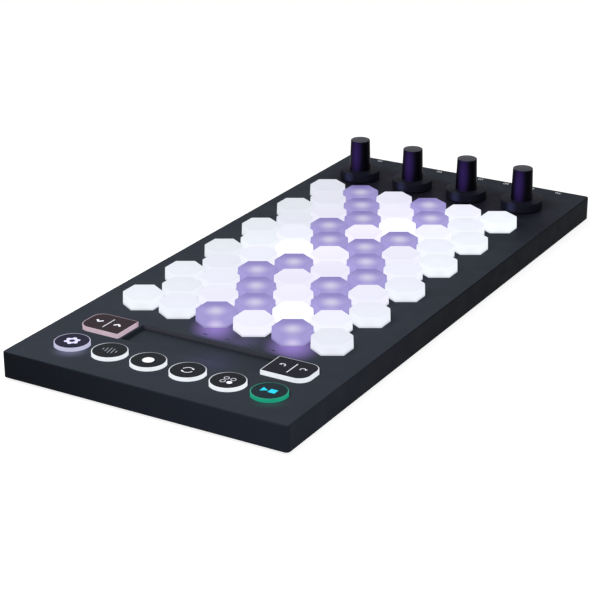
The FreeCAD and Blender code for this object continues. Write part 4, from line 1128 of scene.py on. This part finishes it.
@dataclass
class ButtonRow:
    """Six round buttons: lit bodies, dark faces and thin lit prints."""

    gear_radius: float = 3.4
    gear_lobe: float = 1.28
    gear_band: float = 1.75
    gear_steps: int = 6
    wave_heights: tuple[float, ...] = (2.0, 4.6, 6.6, 5.6, 2.4)
    wave_pitch: float = 2.05
    wave_stroke: float = 0.5
    wave_turn: float = 10.0
    dot_radius: float = 3.2
    loop_arrow: Arrow = Arrow(radius=3.0, stroke=0.42, sweep=130.0, head=0.85)
    loop_starts: tuple[float, ...] = (45.0, 225.0)
    loop_lean: float = 180.0
    group_spread: float = 2.0
    group_radius: float = 1.5
    group_stroke: float = 0.26
    play_x: float = -3.3
    play_radius: float = 2.55
    stop_at: tuple[float, float] = (1.9, 0.2)
    stop_side: float = 4.0
    # The cap's glow dims towards its rear rim: painted shade.
    cap: LitPlastic = LitPlastic("frosted_polycarbonate_cap", "#50545C", "#E7EBF0",
                                 dim_from=-162.0, dim_to=-156.0, dim_level=0.22)
    cap_lilac: LitPlastic = replace(
        cap, name="frosted_cap_lit_lilac", colour="#4E4C62", glow="#B9B8D0", dim_level=0.7)
    cap_green: LitPlastic = replace(
        cap, name="frosted_cap_lit_green", colour="#17493D", glow="#189372", dim_level=0.35)
    face: Moulded = Moulded("printed_acrylic_face", "#0F1319", 0.35, depth=0.002, specular=0.03)
    # Faces over lit caps carry their lamp's colour: painted light.
    face_painted_lilac: Moulded = replace(face, name="printed_face_under_lilac", colour="#14142A")
    face_painted_green: Moulded = replace(face, name="printed_face_under_green", colour="#0E2128")
    ink: LitPlastic = LitPlastic("white_print", "#9A9AA4", "#DCDCE6")
    ink_dim: LitPlastic = LitPlastic("dim_print", "#4A4E56", "#7E828A")
    ink_lilac: LitPlastic = LitPlastic("lilac_print", "#8A86A6", "#C2BFE2")
    ink_cyan: LitPlastic = LitPlastic("cyan_print", "#0A6E80", "#10C4DC")

    def build(self) -> None:
        """Dress the caps and faces and lay the prints on them."""
        cap, face, ink = self.cap.make(), self.face.make(), self.ink.make()
        caps = {Sign.GEAR: self.cap_lilac.make(), Sign.PLAY: self.cap_green.make()}
        faces = {Sign.GEAR: self.face_painted_lilac.make(), Sign.PLAY: self.face_painted_green.make()}
        inks = {Sign.GEAR: self.ink_lilac.make(), Sign.WAVE: self.ink_dim.make(),
                Sign.PLAY: self.ink_cyan.make()}
        draw: dict[Sign, Callable[[Stencil], None]] = {
            Sign.GEAR: self.gear, Sign.WAVE: self.wave, Sign.DOT: self.dot,
            Sign.LOOP: self.loop, Sign.GROUP: self.group, Sign.PLAY: self.play}
        for sign in Sign:
            number = sign.value + 1
            dress(f"button_cap_{number}", caps.get(sign, cap))
            dress(f"button_face_{number}", faces.get(sign, face))
            stencil = Stencil(f"button_face_{number}")
            draw[sign](stencil)
            stencil.piece(f"button_{number}_{sign.name.lower()}_print", inks.get(sign, ink),
                          f"button_{number}")

    def gear(self, stencil: Stencil) -> None:
        """Draw a ring and push its lobes outwards.

        Args:
            stencil: The stencil of the printed face.
        """
        rim = stencil.ring(0, 0, self.gear_radius, self.gear_band)
        lobes = [vert for i, vert in enumerate(rim) if i % self.gear_steps < self.gear_steps / 2]
        bmesh.ops.scale(stencil.bm, verts=lobes, vec=(self.gear_lobe, self.gear_lobe, 1),
                        space=stencil.origin.inverted())

    def wave(self, stencil: Stencil) -> None:
        """Draw upright bars of different lengths.

        Args:
            stencil: The stencil of the printed face.
        """
        half = (len(self.wave_heights) - 1) / 2
        for i, height in enumerate(self.wave_heights):
            stencil.bar((i - half) * self.wave_pitch, 0, self.wave_stroke, height, self.wave_turn)

    def dot(self, stencil: Stencil) -> None:
        """Draw a filled dot."""
        stencil.disc(0, 0, self.dot_radius)

    def loop(self, stencil: Stencil) -> None:
        """Draw two arcs that chase each other, each with an arrow head."""
        for start in self.loop_starts:
            self.loop_arrow.draw(stencil, 0, 0, start, 1, self.loop_lean)

    def group(self, stencil: Stencil) -> None:
        """Draw three rings and a filled dot in a square.

        Args:
            stencil: The stencil of the printed face.
        """
        for x, y in ((-1, 1), (-1, -1), (1, 1)):
            stencil.ring(x * self.group_spread, y * self.group_spread, self.group_radius, self.group_stroke)
        stencil.disc(self.group_spread, -self.group_spread, self.group_radius)

    def play(self, stencil: Stencil) -> None:
        """Draw a triangle that points right and a square beside it."""
        stencil.disc(self.play_x, 0, self.play_radius, corners=3, turn=-90)
        stencil.bar(*self.stop_at, self.stop_side, self.stop_side)


@dataclass
class RockerPair:
    """Two rockers with a divider and a pair of prints on each."""

    line_x: float = 0.3
    line_length: float = 11.5
    line_width: float = 0.5
    sign_spread: float = 6.1
    chevron_arm: float = 3.0
    chevron_stroke: float = 1.2
    chevron_half: float = 0.96
    chevron_y: float = 0.3
    chevron_turn: float = 45.0
    arrow: Arrow = Arrow(radius=1.5, stroke=0.45, sweep=190.0, head=0.9)
    arrow_y: float = 1.0
    arrow_from_rear: float = 65.0
    arrow_lean: float = 90.0
    # The rocker's glow dims towards its rear rim: painted shade.
    cap: LitPlastic = LitPlastic("frosted_rocker", "#50545C", "#E2E6EB",
                                 dim_from=-130.0, dim_to=-127.0, dim_level=0.4)
    cap_rose: LitPlastic = replace(cap, name="frosted_rocker_lit_rose", colour="#5C5058", glow="#BCA6B3")
    face: Moulded = replace(ButtonRow.face, name="printed_rocker_face", colour="#12151D")
    # The face over the lit rocker carries its lamp's rose colour: painted light.
    face_painted_rose: Moulded = replace(face, name="printed_face_under_rose", colour="#241A20")
    ink: LitPlastic = LitPlastic("rocker_print", "#9A9AA4", "#CDCDD6")

    def build(self) -> None:
        """Dress both rockers and print their faces."""
        ink = self.ink.make()
        looks = {"left": (self.cap_rose, self.face_painted_rose, self.chevrons),
                 "right": (self.cap, self.face, self.arrows)}
        for side, (cap, face, draw) in looks.items():
            dress(f"rocker_{side}", cap.make())
            dress(f"rocker_face_{side}", face.make())
            stencil = Stencil(f"rocker_face_{side}")
            stencil.bar(self.line_x, 0, self.line_width, self.line_length)
            draw(stencil)
            stencil.piece(f"rocker_{side}_print", ink, f"rocker_{side}")

    def chevrons(self, stencil: Stencil) -> None:
        """Draw a chevron that points to the player and one that points away.

        Args:
            stencil: The stencil of the printed face.
        """
        for side in (-1, 1):
            for lean in (-1, 1):
                stencil.bar(side * self.sign_spread + lean * self.chevron_half, self.chevron_y,
                            self.chevron_arm, self.chevron_stroke, -side * lean * self.chevron_turn)

    def arrows(self, stencil: Stencil) -> None:
        """Draw a hooked arrow that turns back and one that turns forwards."""
        for side in (-1, 1):
            self.arrow.draw(stencil, side * self.sign_spread, self.arrow_y,
                            90 - side * self.arrow_from_rear, side, -side * self.arrow_lean)


@dataclass
class KnobRow:
    """Four tall knobs: a satin skirt, a glossy tapered stalk and a flat crown."""

    count: int = 4
    skirt_height: float = 5.3
    skirt_wall: float = 1.6
    skirt_round: float = 0.4
    stalk_base: float = 6.95
    stalk_top: float = 6.3
    top_round: float = 0.35
    foot_round: float = 0.8
    bore: float = 3.03
    steps: int = 96
    round_steps: tuple[int, int, int] = (4, 3, 5)
    # The violet streaks on the skirt and stalk are a painted highlight and reflection of the keys' light.
    skirt: Moulded = PaintedSheenGloss(
        "satin_abs_skirt", "#191A24", 0.4, depth=0.004, specular=0.012, glow="#23243F",
        streak=Pool(13.1, 3.0, Vector((5.0, 5.0, 6.0)), bearing=-38.0))
    stalk: Moulded = PaintedSheenGloss(
        "gloss_abs_stalk", "#07060C", 0.3, depth=0.0005, specular=0.02, glow="#2A1A50",
        streak=Pool(6.7, 17.0, Vector((6.0, 5.0, 22.0)), bearing=-26.0))
    crown: Moulded = Moulded("satin_abs_crown", "#44454C", 0.45, depth=0.004, specular=0.04)

    def build(self) -> None:
        """Build and dress the knobs."""
        finishes = [self.skirt.make(), self.stalk.make(), self.crown.make()]
        for index in range(1, self.count + 1):
            piece = self.knob(index, finishes)
            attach(piece, f"knob_{index}")
            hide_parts(f"knob_{index}")

    def knob(self, index: int, finishes: Sequence[Material]) -> Object:
        """Spin one knob, round its rims and part its finishes.

        Args:
            index: The knob's number from the left.
            finishes: Skirt, stalk and crown materials.

        Returns:
            The knob's object.
        """
        node = f"knob_{index}"
        centre = middle(node)
        bottom, top = low(node).z, high(node).z
        skirt_top = bottom + self.skirt_height * MM
        outer = high(node).x - centre.x
        inner = outer - self.skirt_wall * MM
        ceiling = skirt_top - self.skirt_wall * MM
        bore, bore_end = self.bore * MM, high(f"encoder_shaft_{index}").z
        base, tip = self.stalk_base * MM, self.stalk_top * MM
        bm = bmesh.new()
        lathe(bm, [(0, bore_end), (bore, bore_end), (bore, ceiling), (inner, ceiling), (inner, bottom),
                   (outer, bottom), (outer, skirt_top), (base, skirt_top), (tip, top), (0, top)], self.steps)
        rings = ((outer, skirt_top, self.skirt_round), (tip, top, self.top_round),
                 (base, skirt_top, self.foot_round))
        for (radius, height, width), steps in zip(rings, self.round_steps):
            bevel(bm, ring_edges(bm, radius, height), width * MM, steps)
        for face in bm.faces:
            heart = face.calc_center_median()
            if heart.z > top - self.top_round * MM / 2:
                face.material_index = 2  # crown
            elif heart.z > skirt_top + self.foot_round * MM / 8 and heart.xy.length > bore:
                face.material_index = 1  # stalk
        places = bm.verts.layers.float_vector.new(KNOB_PLACE)
        for vert in bm.verts:
            vert[places] = vert.co - Vector((0, 0, bottom))
        bmesh.ops.translate(bm, verts=bm.verts, vec=(centre.x, centre.y, 0))
        return finish_mesh(bm, f"{node}_turned", finishes)


@dataclass
class RearNumbers:
    """Small plain numbers printed in front of the rear sockets."""

    places: tuple[float, ...] = (-63.0, -18.0, 12.5, 31.0, 49.5, 68.0)
    from_back: float = 5.4
    size: float = 3.8
    height: float = 0.03

    def build(self) -> None:
        """Print the numbers as one piece."""
        bm = bmesh.new()
        deck = high("top_cover").z
        row = high("top_cover").y - self.from_back * MM
        for number, x in enumerate(self.places, start=1):
            curve = bpy.data.curves.new("number", "FONT")
            curve.body = f"{number:02d}"
            curve.size = self.size * MM
            curve.align_x = "CENTER"
            curve.extrude = self.height * MM / 2
            text = bpy.data.objects.new("number", curve)
            mesh = bpy.data.meshes.new_from_object(text)
            mesh.transform(Matrix.Translation((x * MM, row, deck + self.height * MM / 2)))
            bm.from_mesh(mesh)
            bpy.data.objects.remove(text)
            bpy.data.meshes.remove(mesh)
        white = Moulded("white_pad_print", "#F0F1F4", 0.5, depth=0.001).make()
        piece = finish_mesh(bm, "rear_numbers", [white])
        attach(piece, "case")


@dataclass
class Lamp:
    """A square soft lamp that faces the object; its place and size are in metres."""

    name: str
    place: Vector
    size: float
    power: float

    def hang(self) -> None:
        """Add the lamp to the scene."""
        light = bpy.data.lights.new(self.name, "AREA")
        light.size, light.energy = self.size, self.power
        holder = bpy.data.objects.new(self.name, light)
        holder.location = self.place
        holder.rotation_euler = (-self.place).to_track_quat("-Z", "Y").to_euler()
        bpy.context.scene.collection.objects.link(holder)


@dataclass
class Studio:
    """Pale floor, plain soft light and the camera at the photograph's viewpoint.

    The camera's places are in millimetres; the floor's size and the far clip are in metres.
    """

    camera_at: Vector = Vector((500.7, -887.8, 422.4))
    camera_aim: Vector = Vector((7.42, -47.82, 16.5))
    camera_roll: float = -0.112
    focal_pixels: float = 1863.4
    sensor: float = 36.0
    far_clip: float = 100.0
    floor_size: float = 40.0
    paper: Paper = Paper("white_paper_floor", "#B3B3B3")
    room: Room = Room()
    lamps: tuple[Lamp, ...] = (
        Lamp("overhead_lamp", Vector((-0.11, -0.22, 0.4)), 0.35, 1.7),
        Lamp("side_lamp", Vector((0.45, -0.55, 0.25)), 0.3, 0.9))

    def build(self) -> None:
        """Make the floor, the world, the lamps and the camera."""
        bpy.context.scene.view_settings.view_transform = "Standard"
        bpy.context.scene.world = self.room.make()
        bm = bmesh.new()
        bmesh.ops.create_grid(bm, x_segments=1, y_segments=1, size=self.floor_size / 2)
        finish_mesh(bm, "floor", [self.paper.make()], recalculate=False)
        for lamp in self.lamps:
            lamp.hang()
        self.camera()

    def camera(self) -> None:
        """Stand the camera where the photograph was taken."""
        view = bpy.data.cameras.new("photo_view")
        view.sensor_width = self.sensor
        view.lens = self.focal_pixels * self.sensor / max(PHOTO_SIZE)
        view.clip_end = self.far_clip
        holder = bpy.data.objects.new("photo_view", view)
        aim = (self.camera_aim - self.camera_at).to_track_quat("-Z", "Y").to_matrix().to_4x4()
        roll = Matrix.Rotation(math.radians(self.camera_roll), 4, "Z")
        holder.matrix_world = Matrix.Translation(self.camera_at * MM) @ aim @ roll
        bpy.context.scene.collection.objects.link(holder)
        bpy.context.scene.camera = holder


def main() -> None:
    """Build every sub-assembly in order and report each."""
    logging.basicConfig(level=logging.INFO, format="%(name)s: %(message)s")
    for part in (Housing(), KeyField(), ButtonRow(), RockerPair(), KnobRow(), RearNumbers(), Studio()):
        part.build()
        LOG.info("%s is done", type(part).__name__)


if __name__ == "__main__":
    main()
